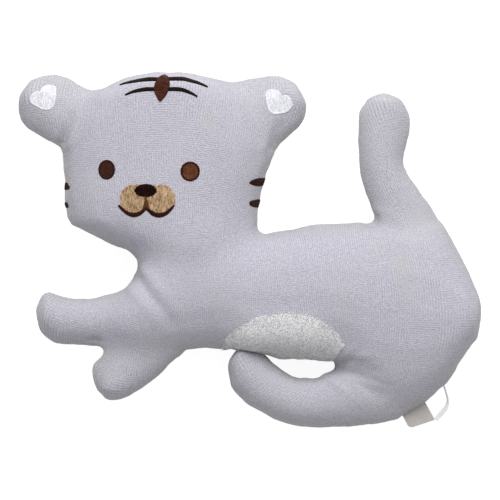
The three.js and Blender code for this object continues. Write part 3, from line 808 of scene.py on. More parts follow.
    def _fold(self) -> None:
        """Presses the creases into the front panel."""
        points = places(self.cover)
        push = np.zeros(len(points))
        front = np.clip((points[:, 2] - PLAN.seam_height) / (6 * MM), 0, 1)
        for crease in self.creases:
            start = np.array(PLAN.spot(*crease.start))[:2]
            run = np.array(PLAN.spot(*crease.end))[:2] - start
            length = float(np.linalg.norm(run))
            offset = points[:, :2] - start
            share = offset @ run / length**2
            beside = (offset[:, 0] * run[1] - offset[:, 1] * run[0]) / length / crease.width
            fade = np.clip(1 - share, 0, 1) ** 0.7 * np.clip(share * 5 + 1, 0, 1) * (share < 1)
            lips = self.lip_share * np.exp(-((np.abs(beside) - self.lip_place) ** 2))
            push += crease.depth * fade * (np.exp(-(beside**2)) - lips)
        place(self.cover, points - directions(self.cover) * (push * front)[:, None])

    def _level_directions(self) -> np.ndarray:
        """The cloth's outward directions in plan, shorter where it lies flat."""
        level = directions(self.cover) * np.array([1.0, 1.0, 0.0])
        return level / np.maximum(np.linalg.norm(level, axis=1, keepdims=True), 0.3)

    def _press_out(self, points: np.ndarray, swells: Sequence[Swell]) -> np.ndarray:
        """How far swells press the cloth out at each point."""
        push = np.zeros(len(points))
        for swell in swells:
            away = np.linalg.norm(points[:, :2] - np.array(PLAN.spot(*swell.pixel)[:2]), axis=1)
            push += swell.distance * np.exp(-((away / swell.reach) ** 2))
        return push

    def _bulge(self) -> None:
        """Lets the filling stand up squarely under the front panel."""
        points = places(self.cover)
        front = np.clip((points[:, 2] - PLAN.seam_height) / self.bulge_level - 0.3, 0, 1)
        push = self._press_out(points, self.bulges) * front
        place(self.cover, points + directions(self.cover) * push[:, None])

    def _meet_outline(self) -> None:
        """Draws the cloth beside the side seam out to the outline that the panels are cut to."""
        panels = [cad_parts[name] for section in Section for name in section.nodes()[:2]]
        tree = tree_over(*panels)
        points = places(self.cover)
        level = self._level_directions()
        above = points[:, 2] - PLAN.seam_height
        (left, upper), (right, lower) = (PLAN.spot(*pixel)[:2] for pixel in self.slot_line)
        on_leg = points[:, 1] < upper + (points[:, 0] - left) * (lower - upper) / (right - left)
        rest = points.copy()
        rest[:, 1] += self.tip_hold * self._tip_share(points) * on_leg
        offset = np.full(len(points), self.usual_offset)
        for index in np.flatnonzero(np.abs(above) < 2 * self.outline_reach):
            outward = Vector(level[index]).normalized()
            start = Vector(rest[index]) + outward * self.widest_offset
            spot, normal, _, distance = tree.ray_cast(start, -outward, 2 * self.widest_offset)
            if spot is not None and normal.dot(outward) > 0.2:
                offset[index] = self.widest_offset - distance
        offset = self._evened(np.maximum(offset, 0.0), 24) + self.nap
        push = self._press_out(rest, self.swells)
        fade = np.exp(-((above / self.outline_reach) ** 2))
        tall = np.exp(-((above / (self.outline_reach * np.where(push > 0, 1.0, self.notch_height))) ** 2))
        place(self.cover, points + level * (offset * fade + push * tall)[:, None])

    def _evened(self, values: np.ndarray, rounds: int) -> np.ndarray:
        """Values at the cover's vertices, each drawn towards those of its neighbours."""
        ends = read(self.cover.data.edges, "vertices", 2, int)
        first, second = ends.T
        count = np.bincount(ends.ravel(), minlength=len(values))
        for _ in range(rounds):
            total = np.bincount(first, values[second], len(values))
            total = total + np.bincount(second, values[first], len(values))
            values = 0.4 * values + 0.6 * total / np.maximum(count, 1)
        return values

    def _sew(self) -> None:
        """Draws the side seam in and puckers the cloth beside it."""
        points = places(self.cover)
        above = points[:, 2] - PLAN.seam_height
        level = self._level_directions()
        groove = self.seam_depth * np.exp(-((above / self.seam_width) ** 2))
        ruffle = np.zeros(len(points))
        for index in np.flatnonzero(np.abs(above) < 3 * self.pucker_reach):
            side = 1 if above[index] > 0 else -1
            spot = Vector((points[index, 0], points[index, 1], side)) / self.pucker_length
            ruffle[index] = noise.noise(spot) + 0.5 * noise.noise(spot * 2.3)
        fade = np.exp(-np.abs(above) / self.pucker_reach)
        push = groove + self.pucker_depth * ruffle * fade
        place(self.cover, points - level * push[:, None])

    def _rest_on_table(self) -> None:
        """Flattens the little that would sink into the table."""
        points = places(self.cover)
        points[:, 2] = np.maximum(points[:, 2], 0.0)
        place(self.cover, points)

    def _divided(self) -> dict[Section, bpy.types.Object]:
        """Divides the cover at its roots and names each piece after its section.

        Returns:
            The piece of cover for each section.
        """
        cover = self.cover
        cover.vertex_groups.clear()
        kept = cover.data.attributes.new("rest_direction", "FLOAT_VECTOR", "POINT")
        kept.data.foreach_set("vector", directions(cover).ravel())
        for root in self.roots:
            self._divide(root)
        with editing(cover):
            bpy.ops.mesh.separate(type="LOOSE")
        loose = [obj for obj in bpy.context.selected_objects if obj.type == "MESH"]
        return self._fitted(loose)

    def _divide(self, root: Root) -> None:
        """Divides the cover across one limb."""
        with editing(self.cover, root.near(places(self.cover), 4 * MM), "EDGE"):
            bpy.ops.mesh.bisect(plane_co=root.start(), plane_no=root.outward(), threshold=0.001 * MM)
            bpy.ops.mesh.edge_split(type="EDGE")

    def _fitted(self, loose: Sequence[bpy.types.Object]) -> dict[Section, bpy.types.Object]:
        """Names the loose pieces after their sections and dresses them; only the torso's piece rides on its
        body.
        """
        rest = {obj.name: obj for obj in loose}
        found: dict[Section, bpy.types.Object] = {}
        for root in self.roots:
            low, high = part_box(f"{root.limb.value}_front_panel")
            middle = (low + high) / 2
            nearest = min(rest.values(), key=lambda obj: min(
                (Vector(point) - middle).length for point in places(obj)[::7]))
            found[root.limb] = rest.pop(nearest.name)
        found[Section.TORSO] = max(rest.values(), key=lambda obj: len(obj.data.vertices))
        for crumb in rest.values():
            if crumb is not found[Section.TORSO]:
                LOG.warning("crumb of %d vertices left over", len(crumb.data.vertices))
                bpy.data.objects.remove(crumb)
        self._shift_tip(found[Section.HIND_LEG], self.tip_hold)
        self._swell_tip(found[Section.HIND_LEG])
        material = TERRY.material()
        roots = {root.limb: root for root in self.roots}
        for section, obj in found.items():
            obj.name = obj.data.name = f"{section.value}_cover"
            obj.data.materials.clear()
            obj.data.materials.append(material)
            self._match_edges(obj)
            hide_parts(*section.nodes())
            if section in roots:
                root = roots[section]
                root.start()
                root.end()
                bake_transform(obj)
            else:
                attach(obj, section.value)
            LOG.info("%s: %d faces", obj.name, len(obj.data.polygons))
        return found

    def _match_edges(self, obj: bpy.types.Object) -> None:
        """Shades a piece's cut edges as the undivided cover was, so that no line shows between two pieces."""
        kept = read(obj.data.attributes["rest_direction"].data, "vector", 3)
        own = directions(obj)
        for root in self.roots:
            on_edge = root.near(places(obj), 0.01 * MM)
            own[on_edge] = kept[on_edge]
        own /= np.linalg.norm(own, axis=1, keepdims=True)
        obj.data.normals_split_custom_set_from_vertices([tuple(row) for row in own])
        obj.data.attributes.remove(obj.data.attributes["rest_direction"])


class Strand:
    """One short length of thread or fibre, modelled once and copied along every path."""

    TONE = "tone"

    def __init__(self, sides: int, stations: Sequence[float], ends: tuple[float, float]) -> None:
        """Models the strand upright.

        Args:
            sides: How many sides it has.
            stations: The heights of its rings, from 0 at its root to 1 at its tip.
            ends: The width of the root and of the tip, as shares of the middle's.
        """
        self.stations = np.array(stations)
        bpy.ops.object.select_all(action="DESELECT")
        bpy.ops.mesh.primitive_cylinder_add(vertices=sides, radius=0.5, depth=1, location=(0, 0, 0.5))
        strand = bpy.context.object
        bpy.ops.object.transform_apply()
        for height in stations[1:-1]:
            with editing(strand, np.ones(len(strand.data.vertices), bool)):
                bpy.ops.mesh.bisect(plane_co=(0, 0, height), plane_no=UP)
        for height, share in zip((0, 1), ends):
            with editing(strand, np.isclose(places(strand)[:, 2], height, atol=0.01)):
                bpy.ops.transform.resize(value=(share, share, 1))
        self.points = places(strand)
        self.ring = np.abs(self.points[:, 2, None] - self.stations[None]).argmin(axis=1)
        self.faces = [list(face.vertices) for face in strand.data.polygons]
        bpy.data.objects.remove(strand)

    def laid(self, name: str, lines: np.ndarray, ups: np.ndarray, width: Any,
             height: Any) -> bpy.types.Object:
        """Copies the strand along paths and gives each copy a tone of its own.

        Args:
            name: The new piece's name.
            lines: The places of every path's stations, by path, station and axis.
            ups: The outward directions there.
            width: How wide the strands are, one value or one for each path and station.
            height: How thick they are, likewise.

        Returns:
            The piece that holds all the strands.
        """
        along = np.gradient(lines, axis=1)
        along /= np.linalg.norm(along, axis=2, keepdims=True)
        side = np.cross(ups, along)
        side /= np.linalg.norm(side, axis=2, keepdims=True)
        up = np.cross(along, side)
        shape = lines.shape[:2]
        width, height = (np.broadcast_to(value, shape)[:, self.ring, None] for value in (width, height))
        across, above = self.points[None, :, 0, None], self.points[None, :, 1, None]
        points = lines[:, self.ring] + side[:, self.ring] * across * width + up[:, self.ring] * above * height
        count = len(self.points)
        faces = [[n * count + i for i in face] for n in range(shape[0]) for face in self.faces]
        piece = new_mesh(name, points.reshape(-1, 3), faces)
        tones = np.random.default_rng(shape[0]).uniform(0, 1, shape[0]).repeat(count)
        piece.data.attributes.new(self.TONE, "FLOAT", "POINT").data.foreach_set("value", tones)
        return piece


class Probe:
    """Straight rays that find the cloth under a pattern of rows."""

    outward = 1.0

    def ray(self, across: float, along: float) -> tuple[Vector, Vector]:
        """The start and direction of the ray at a place in the pattern."""
        raise NotImplementedError

    def limits(self, across: float) -> tuple[float, float] | None:
        """Where a row starts and ends, if the pattern itself sets that."""
        return None


@dataclass(frozen=True)
class FromAbove(Probe):
    """Rays straight down on rows that lean by an angle from +Y."""

    centre: Vector
    lean: float = 0.0
    height: float = 0.2

    def ray(self, across: float, along: float) -> tuple[Vector, Vector]:
        """The ray at a place in the pattern."""
        turn = math.radians(self.lean)
        x = self.centre.x + across * math.cos(turn) - along * math.sin(turn)
        y = self.centre.y + across * math.sin(turn) + along * math.cos(turn)
        return Vector((x, y, self.height)), -UP


@dataclass(frozen=True)
class AroundCentre(Probe):
    """Rays straight down on rows that radiate from a centre."""

    centre: Vector
    radius: float
    height: float = 0.2

    def ray(self, across: float, along: float) -> tuple[Vector, Vector]:
        """The ray at an arc length round the centre and a distance from it."""
        turn = across / self.radius
        x = self.centre.x + along * math.cos(turn)
        y = self.centre.y + along * math.sin(turn)
        return Vector((x, y, self.height)), -UP


@dataclass(frozen=True)
class FromInside(Probe):
    """Rays from a line inside the filling, fanned out over the side seam, on rows that follow the line."""

    centre: Vector
    facing: Vector
    radius: float
    outward = -1.0

    def ray(self, across: float, along: float) -> tuple[Vector, Vector]:
        """The ray at an arc length above the seam and a place along the line."""
        turn = across / self.radius
        line = UP.cross(self.facing)
        return self.centre + line * along, self.facing * math.cos(turn) + UP * math.sin(turn)


class AcrossLine(Probe):
    """Rays straight down on short rows that cross a drawn line, as long as the line is wide."""

    HEIGHT = 0.2
    TUCK = 0.2 * MM

    def __init__(self, points: Sequence[tuple[float, float, float]]) -> None:
        """Draws the line.

        Args:
            points: Pixel column, pixel row and width in pixels of each point of the line.
        """
        rows = np.array([[*PLAN.spot(x, y)[:2], width * PLAN.pixel] for x, y, width in points])
        self.rows = smooth_line(rows, 20 * len(rows))
        steps = np.linalg.norm(np.diff(self.rows[:, :2], axis=0), axis=1)
        self.marks = np.concatenate([[0], np.cumsum(steps)])
        heading = np.gradient(self.rows[:, :2], axis=0)
        heading /= np.linalg.norm(heading, axis=1, keepdims=True)
        self.sides = np.stack([-heading[:, 1], heading[:, 0]], axis=1)

    def ray(self, across: float, along: float) -> tuple[Vector, Vector]:
        """The ray at an arc length along the line and a distance beside it."""
        x, y, side_x, side_y = (
            float(np.interp(across, self.marks, column))
            for column in (self.rows[:, 0], self.rows[:, 1], self.sides[:, 0], self.sides[:, 1])
        )
        return Vector((x + side_x * along, y + side_y * along, self.HEIGHT)), -UP

    def limits(self, across: float) -> tuple[float, float] | None:
        """The line's two edges, with a little that tucks in."""
        half = float(np.interp(across, self.marks, self.rows[:, 2])) / 2 + self.TUCK
        return -half, half

    def span(self) -> tuple[float, float]:
        """The line's whole length."""
        return 0.0, float(self.marks[-1])


@dataclass(frozen=True)
class Grain:
    """How closely and how long the stitches of an area lie."""

    pitch: float = 0.42 * MM
    longest: float = 3.6 * MM
    width: float = 0.52 * MM
    height: float = 0.36 * MM
    rise: float = 0.12 * MM
    scatter: float = 0.3
    lap: float = 0.35 * MM


@dataclass(frozen=True)
class Area:
    """An embroidered area: the node it follows, how it is probed, its span and its grain."""

    name: str
    nodes: tuple[str, ...]
    probe: Probe
    across: tuple[float, float]
    along: tuple[float, float]
    thread: Thread
    slot: str
    body: str = "head"
    grain: Grain = Grain()
    band: float = 1.0
    grow: float = 0.15 * MM
    beside: tuple[str, ...] = ()
    reach: float = 1.1 * MM
    shape: tuple[tuple[float, float], ...] = ()
    stands_for: bool = True


class Outline:
    """The outline of an embroidered area: a drawn shape or the node's own, which may grow a little."""

    STEP = 0.25 * MM
    SHORTEST = 0.4 * MM
    LAYER = 0.7 * MM

    def __init__(self, area: Area, cloth: BVHTree) -> None:
        """Prepares the search trees of the area's own nodes and of those beside it."""
        self.area = area
        self.cloth = cloth
        self.own = tree_over(*(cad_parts[name] for name in area.nodes))
        self.beside = tree_over(*(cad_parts[name] for name in area.beside)) if area.beside else None
        self.shape = np.array([PLAN.spot(*pixel)[:2] for pixel in (*area.shape, *area.shape[:1])])
        if area.shape:
            self.shape = smooth_line(self.shape, 8 * len(self.shape))

    def runs(self, across: float) -> list[tuple[float, float]]:
        """The stretches of one row that lie inside the area."""
        limits = self.area.probe.limits(across)
        if limits is not None:
            return [limits]
        first, last = self.area.along
        spots = [float(spot) for spot in np.arange(first, last + self.STEP, self.STEP)]
        inside = [self._holds(across, spot) for spot in spots]
        runs = []
        start = spots[0] if inside[0] else None
        for index in range(1, len(spots)):
            if inside[index] and not inside[index - 1]:
                start = self._edge(across, spots[index], spots[index - 1])
            if inside[index - 1] and not inside[index] and start is not None:
                end = self._edge(across, spots[index - 1], spots[index])
                if end - start > self.SHORTEST:
                    runs.append((start, end))
                start = None
        return runs

    def _holds(self, across: float, along: float) -> bool:
        """Whether a place in the pattern is inside the area."""
        start, heading = self.area.probe.ray(across, along)
        if not self.area.shape and self.own.ray_cast(start, heading)[0] is not None:
            return True
        spot, normal, _, _ = self.cloth.ray_cast(start, heading)
        if spot is None:
            return False
        if self.area.shape:
            return self._surrounds(spot.x, spot.y)
        spot -= heading * self.area.probe.outward * self.LAYER
        near = self.own.find_nearest(spot)[3]
        if near < self.area.grow:
            return True
        return self.beside is not None and near < self.area.reach and (
            self.beside.find_nearest(spot)[3] < self.area.reach
        )

    def _surrounds(self, x: float, y: float) -> bool:
        """Whether the drawn shape surrounds a place in plan."""
        first, second = self.shape[:-1], self.shape[1:]
        crossed = (first[:, 1] > y) != (second[:, 1] > y)
        share = (y - first[:, 1]) / np.where(crossed, second[:, 1] - first[:, 1], 1.0)
        return int((crossed & (first[:, 0] + share * (second[:, 0] - first[:, 0]) > x)).sum()) % 2 == 1

    def _edge(self, across: float, within: float, beyond: float) -> float:
        """Where a row crosses the outline, between a place inside and one outside."""
        for _ in range(4):
            middle = (within + beyond) / 2
            if self._holds(across, middle):
                within = middle
            else:
                beyond = middle
        return within


class Embroidery:
    """Lays rows of single stitches on the cover."""

    SEWN = (Section.HEAD, Section.LEFT_EAR, Section.RIGHT_EAR)
    SIDES = 6
    STATIONS = (0.0, 0.1, 0.3, 0.7, 0.9, 1.0)
    ARCH = (-0.8, 0.5, 1.0, 1.0, 0.5, -0.8)
    DRIFT = 0.03
    NARROWED = 0.45

    def __init__(self, covers: dict[Section, bpy.types.Object]) -> None:
        """Models the stitch and prepares the cloth that it is sewn on."""
        self.strand = Strand(self.SIDES, self.STATIONS, (self.NARROWED, self.NARROWED))
        self.cloth = tree_over(*(covers[section] for section in self.SEWN))

    def sew(self, area: Area) -> bpy.types.Object:
        """Fills one area with stitches.

        Args:
            area: The area to fill.

        Returns:
            The finished piece.
        """
        outline = Outline(area, self.cloth)
        chance = random.Random(area.name)
        rows = np.arange(area.across[0] + area.grain.pitch / 2, area.across[1], area.grain.pitch)
        stitches = []
        for number, across in enumerate(rows):
            for start, end in outline.runs(float(across)):
                start = max(start, end - area.band)
                for first, last in self._cuts(start, end, number, area.grain, chance):
                    drift = chance.uniform(-self.DRIFT, self.DRIFT) * MM
                    stitches.append(self._path(area, float(across) + drift, first, last))
        lines = np.array([[place for place, _ in path] for path in stitches])
        ups = np.array([[up for _, up in path] for path in stitches])
        lift = area.grain.rise * np.array([chance.uniform(0.6, 1.4) for _ in stitches])
        lines += ups * (lift[:, None] * np.array([self.ARCH]))[:, :, None]
        width = area.grain.width * np.array([chance.uniform(0.95, 1.2) for _ in stitches])
        piece = self.strand.laid(area.name, lines, ups, width[:, None], area.grain.height)
        piece.data.materials.append(area.thread.material())
        if area.stands_for:
            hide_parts(*area.nodes)
        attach(piece, area.body)
        LOG.info("%s: %d stitches", piece.name, len(stitches))
        return piece

    @staticmethod
    def _cuts(start: float, end: float, number: int, grain: Grain,
              chance: random.Random) -> list[tuple[float, float]]:
        """Divides one stretch of a row into stitches, staggered from row to row."""
        marks = [start]
        mark = start + grain.longest * (0.35 + 0.62 * ((number * 0.382) % 1))
        while mark < end - 0.3 * grain.longest:
            marks.append(mark + chance.uniform(-1, 1) * grain.scatter * 0.3 * grain.longest)
            mark += grain.longest
        marks.append(end)
        lap = [0.0] + [grain.lap] * (len(marks) - 2) + [0.0]
        return [(marks[i] - lap[i], marks[i + 1] + lap[i + 1]) for i in range(len(marks) - 1)]

    def _path(self, area: Area, across: float, first: float, last: float) -> list[tuple[Vector, Vector]]:
        """The places on the cloth along one stitch, with the outward directions there."""
        path = []
        for share in self.strand.stations:
            start, heading = area.probe.ray(across, first + (last - first) * float(share))
            spot, normal, _, _ = self.cloth.ray_cast(start, heading)
            if spot is None:
                spot, normal, _, _ = self.cloth.find_nearest(start + heading * 0.15)
            if normal.dot(heading) * area.probe.outward > 0:
                normal = -normal
            path.append((spot, normal))
        return path


Line = tuple[tuple[float, float, float], ...]
Shape = tuple[tuple[float, float], ...]


@dataclass
class Face:
    """Eyes, nose, muzzle, mouth and stripes of embroidery thread."""

    left_eye: tuple[float, float, float, float] = (107.4, 170.1, 8.3, 9.8)
    right_eye: tuple[float, float, float, float] = (190.5, 171.9, 9.6, 9.8)
    nose: tuple[float, float] = (144.7, 190.5)
    left_lobe: tuple[float, float] = (132.5, 199.5)
    right_lobe: tuple[float, float] = (160.8, 199.5)
    left_mouth: Line = (
        (119.3, 205.6, 1.5), (123.9, 210.1, 2.6), (128.5, 213.4, 3.4), (134.0, 215.0, 4.5),
        (139.2, 214.1, 3.8), (142.7, 211.9, 3.1), (145.8, 209.3, 2.8), (147.6, 208.0, 2.6),
    )
    right_mouth: Line = (
        (174.4, 205.8, 1.2), (170.3, 210.3, 2.7), (166.2, 213.6, 3.6), (160.2, 215.3, 4.6),
        (154.3, 214.2, 4.1), (150.8, 211.6, 3.3), (147.8, 209.2, 2.9), (146.4, 208.0, 2.6),
    )
    philtrum: Line = (
        (146.4, 196.0, 2.0), (146.3, 200.0, 2.5), (146.7, 204.3, 4.8), (146.9, 208.0, 6.6),
        (146.9, 210.4, 4.8),
    )
    spot: Shape = (
        (164.6, 75.8), (169.0, 78.0), (170.6, 83.7), (169.9, 89.4), (167.7, 95.1), (164.6, 99.5),
        (161.2, 102.3), (158.6, 100.8), (156.1, 96.3), (154.1, 91.2), (154.5, 85.5), (157.0, 80.5),
        (160.4, 77.0),
    )
    stripes: tuple[tuple[str, Line], ...] = (
        ("upper_left", ((158.5, 80.2, 3.6), (149.4, 80.2, 3.9), (141.2, 81.0, 3.1), (133.0, 82.4, 2.5),
                        (125.9, 83.8, 1.6), (120.4, 85.5, 0.6))),
        ("lower_left", ((154.5, 90.1, 3.7), (146.3, 90.2, 3.9), (139.2, 91.3, 3.3), (133.1, 92.8, 2.4),
                        (125.7, 95.8, 0.8))),
        ("upper_right", ((169.0, 80.0, 3.3), (176.9, 79.7, 3.8), (184.1, 79.9, 3.8), (191.2, 81.7, 3.2),
                         (197.3, 83.4, 2.6), (203.5, 85.8, 1.7), (208.0, 87.9, 0.7))),
        ("lower_right", ((168.4, 90.1, 3.6), (175.9, 90.1, 3.9), (182.0, 90.6, 3.7), (188.2, 92.6, 3.0),
                         (193.3, 95.0, 2.1), (197.5, 97.5, 1.0))),
    )
    cheeks: tuple[tuple[str, Shape], ...] = (
        ("right_upper", ((248.9, 183.1), (252.3, 180.1), (257.9, 178.1), (263.2, 177.9), (275, 177.5),
                         (275, 187), (261.9, 186.3), (259.1, 186.6), (254.8, 186.2), (251.1, 184.7))),
        ("right_lower", ((248.9, 202.8), (251.4, 200.6), (256.6, 199.4), (259.4, 199.0), (272, 198.5),
                         (272, 208), (257.3, 207.8), (253.5, 207.4), (250.4, 205.9))),
        ("left_upper", ((70.5, 187.3), (69.1, 189.7), (66.8, 190.0), (55, 190.3), (55, 181.7), (66.6, 182.3),
                        (68.6, 184.6))),
        ("left_lower", ((68.7, 205.3), (68.5, 207.8), (66.2, 208.0), (55, 208.2), (55, 201.7), (66.6, 202.2),
                        (67.8, 203.3))),
    )
    eye_span: float = 7.5 * MM
    eye_radius: float = 5.6 * MM
    rim: float = 1.25 * MM
    lobe_span: float = 11 * MM
    spot_middle: tuple[float, float] = (162.4, 89.0)
    spot_lean: float = 78.0
    spot_span: float = 9 * MM
    cheek_radius: float = 16 * MM

    def areas(self) -> list[Area]:
        """All the embroidered areas of the face."""
        return [*self._eye("left_eye", self.left_eye), *self._eye("right_eye", self.right_eye),
                *self._muzzle(), *self._forehead(), *self._cheeks()]

    def _eye(self, node: str, oval: tuple[float, float, float, float]) -> list[Area]:
        """The fill of an eye and its darker rim.

        Args:
            node: The eye's node.
            oval: Pixel column and row of the eye's centre and its half sizes in pixels.

        Returns:
            The two areas.
        """
        column, row, half_width, half_height = oval
        centre = PLAN.spot(column, row)
        shape = tuple((column + half_width * math.cos(turn), row + half_height * math.sin(turn))
                      for turn in np.linspace(0, math.tau, 24, endpoint=False))
        span = (-self.eye_span, self.eye_span)
        radius = self.eye_radius
        fill = LEFT_EYE_FILL if node == "left_eye" else RIGHT_EYE_FILL
        return [
            Area(f"{node}_fill", (node,), FromAbove(centre, 8.0), span, span, fill, "eye_thread",
                 grain=Grain(longest=2.4 * MM, scatter=0.9), shape=shape),
            Area(f"{node}_rim", (node,), AroundCentre(centre, radius), (0, math.tau * radius),
                 (0, self.eye_span), EYE_RIM, "eye_thread", grain=Grain(pitch=0.36 * MM, rise=0.3 * MM),
                 band=self.rim, shape=shape, stands_for=False),
        ]

    def _muzzle(self) -> list[Area]:
        """Nose, the two muzzle lobes, the line between them and the mouth."""
        areas = [Area("nose_stitches", ("nose",), FromAbove(PLAN.spot(*self.nose)), (-7.5 * MM, 7.5 * MM),
                      (-5 * MM, 5 * MM), NOSE_THREAD, "nose_thread",
                      grain=Grain(rise=0.4 * MM, longest=5 * MM), grow=0.25 * MM)]
        for node, pixel, lean in (("left_muzzle", self.left_lobe, 12.0),
                                  ("right_muzzle", self.right_lobe, -9.0)):
            span = (-self.lobe_span, self.lobe_span)
            areas.append(Area(f"{node}_stitches", (node,), FromAbove(PLAN.spot(*pixel), lean), span, span,
                              MUZZLE_THREAD, "muzzle_thread", grain=Grain(longest=1.7 * MM, scatter=0.9),
                              grow=0.4 * MM, beside=("nose", "philtrum"), reach=1.4 * MM))
        satin = Grain(pitch=0.36 * MM, rise=0.42 * MM, longest=8 * MM)
        areas.append(self._drawn("philtrum_stitches", "philtrum", self.philtrum, PHILTRUM_THREAD,
                                 "philtrum_thread", Grain(pitch=0.36 * MM, rise=0.36 * MM)))
        for side, line in (("left", self.left_mouth), ("right", self.right_mouth)):
            areas.append(self._drawn(f"{side}_mouth_stitches", "mouth_line", line, MOUTH_THREAD,
                                     "mouth_thread", satin, side == "left"))
        return areas

    def _forehead(self) -> list[Area]:
        """The spot on the forehead and the two stripes to either side of it."""
        span = (-self.spot_span, self.spot_span)
        middle = PLAN.spot(*self.spot_middle)
        areas = [Area("forehead_spot_stitches", ("forehead_spot",), FromAbove(middle, self.spot_lean),
                      span, span, SPOT_THREAD, "stripe_thread",
                      grain=Grain(pitch=0.4 * MM, rise=0.45 * MM, longest=6 * MM), shape=self.spot)]
        for side, line in self.stripes:
            node = f"forehead_stripe_{side}"
            areas.append(self._drawn(f"{node}_stitches", node, line, STRIPE_THREAD, "stripe_thread",
                                     Grain(pitch=0.36 * MM, rise=0.28 * MM, longest=8 * MM)))
        return areas

    @staticmethod
    def _drawn(name: str, node: str, line: Line, thread: Thread, slot: str, grain: Grain,
               stands_for: bool = True) -> Area:
        """An area of satin stitches across a drawn line."""
        probe = AcrossLine(line)
        return Area(name, (node,), probe, probe.span(), (0.0, 0.0), thread, slot, grain=grain,
                    stands_for=stands_for)

    def _cheeks(self) -> list[Area]:
        """Two stripes on each cheek, which run into the side seam."""
        areas = []
        radius = self.cheek_radius
        for place_name, shape in self.cheeks:
            node = f"cheek_stripe_{place_name}"
            facing = 1.0 if place_name.startswith("right") else -1.0
            low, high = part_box(node)
            edge = high.x if facing > 0 else low.x
            centre = Vector((edge - facing * radius, (low.y + high.y) / 2, PLAN.seam_height))
            areas.append(Area(f"{node}_stitches", (node,), FromInside(centre, Vector((facing, 0, 0)), radius),
                              (0.2 * MM, 1.6 * radius), (-6 * MM, 6 * MM), CHEEK_THREAD, "stripe_thread",
                              grain=Grain(pitch=0.36 * MM, rise=0.22 * MM, longest=6 * MM), shape=shape))
        return areas


@dataclass
class EarHearts:
    """A white heart on each ear, drawn from its notch on: a tatami fill with a satin edge."""

    hearts: tuple[tuple[str, str, tuple[float, float], tuple[tuple[float, float], ...]], ...] = (
        ("left_ear_heart", "left_ear", (44.5, 97.5), (
            (40.5, 92.1), (42.1, 88.8), (44.0, 86.9), (46.8, 85.7), (50.7, 85.4), (54.1, 85.9),
            (56.6, 88.1), (56.7, 91.9), (56.4, 97.2), (55.4, 102.5), (54.1, 106.4), (52.4, 108.8),
            (48.9, 110.4), (43.2, 110.2), (39.3, 108.4), (35.4, 106.0), (32.2, 104.3), (30.4, 101.2),
            (30.3, 98.5), (31.5, 95.9), (33.9, 93.1), (36.5, 92.1),
        )),
        ("right_ear_heart", "right_ear", (279.5, 102.5), (
            (281.5, 96.6), (282.9, 96.1), (285.5, 95.9), (288.3, 96.5), (290.3, 99.2), (291.7, 102.3),
            (292.7, 105.1), (292.2, 107.3), (290.2, 110.0), (287.7, 112.2), (284.0, 113.7), (279.8, 114.4),
            (275.6, 114.8), (272.8, 114.3), (270.2, 112.5), (268.4, 110.0), (267.5, 107.1), (266.1, 102.8),
            (265.8, 98.6), (265.1, 95.1), (265.9, 92.7), (267.5, 91.0), (270.2, 89.9), (272.9, 89.6),
            (275.7, 90.1), (278.4, 91.2), (280.2, 93.6),
        )),
    )
    span: float = 11 * MM
    edge: float = 1.3 * MM

    def areas(self) -> list[Area]:
        """The fill and the edge of both hearts."""
        areas = []
        radius = 7 * MM
        for node, body, pixel, shape in self.hearts:
            centre = PLAN.spot(*pixel)
            span = (-self.span, self.span)
            areas.append(Area(f"{node}_fill", (node,), FromAbove(centre, 4.0), span, span, HEART_THREAD,
                              "heart_thread", body, Grain(longest=2.2 * MM, scatter=0.5, pitch=0.6 * MM,
                                                          width=0.62 * MM, height=0.42 * MM), shape=shape))
            areas.append(Area(f"{node}_edge", (node,), AroundCentre(centre, radius), (0, math.tau * radius),
                              (0, self.span), HEART_THREAD, "heart_thread", body,
                              Grain(pitch=0.36 * MM, rise=0.28 * MM), self.edge, shape=shape,
                              stands_for=False))
        return areas


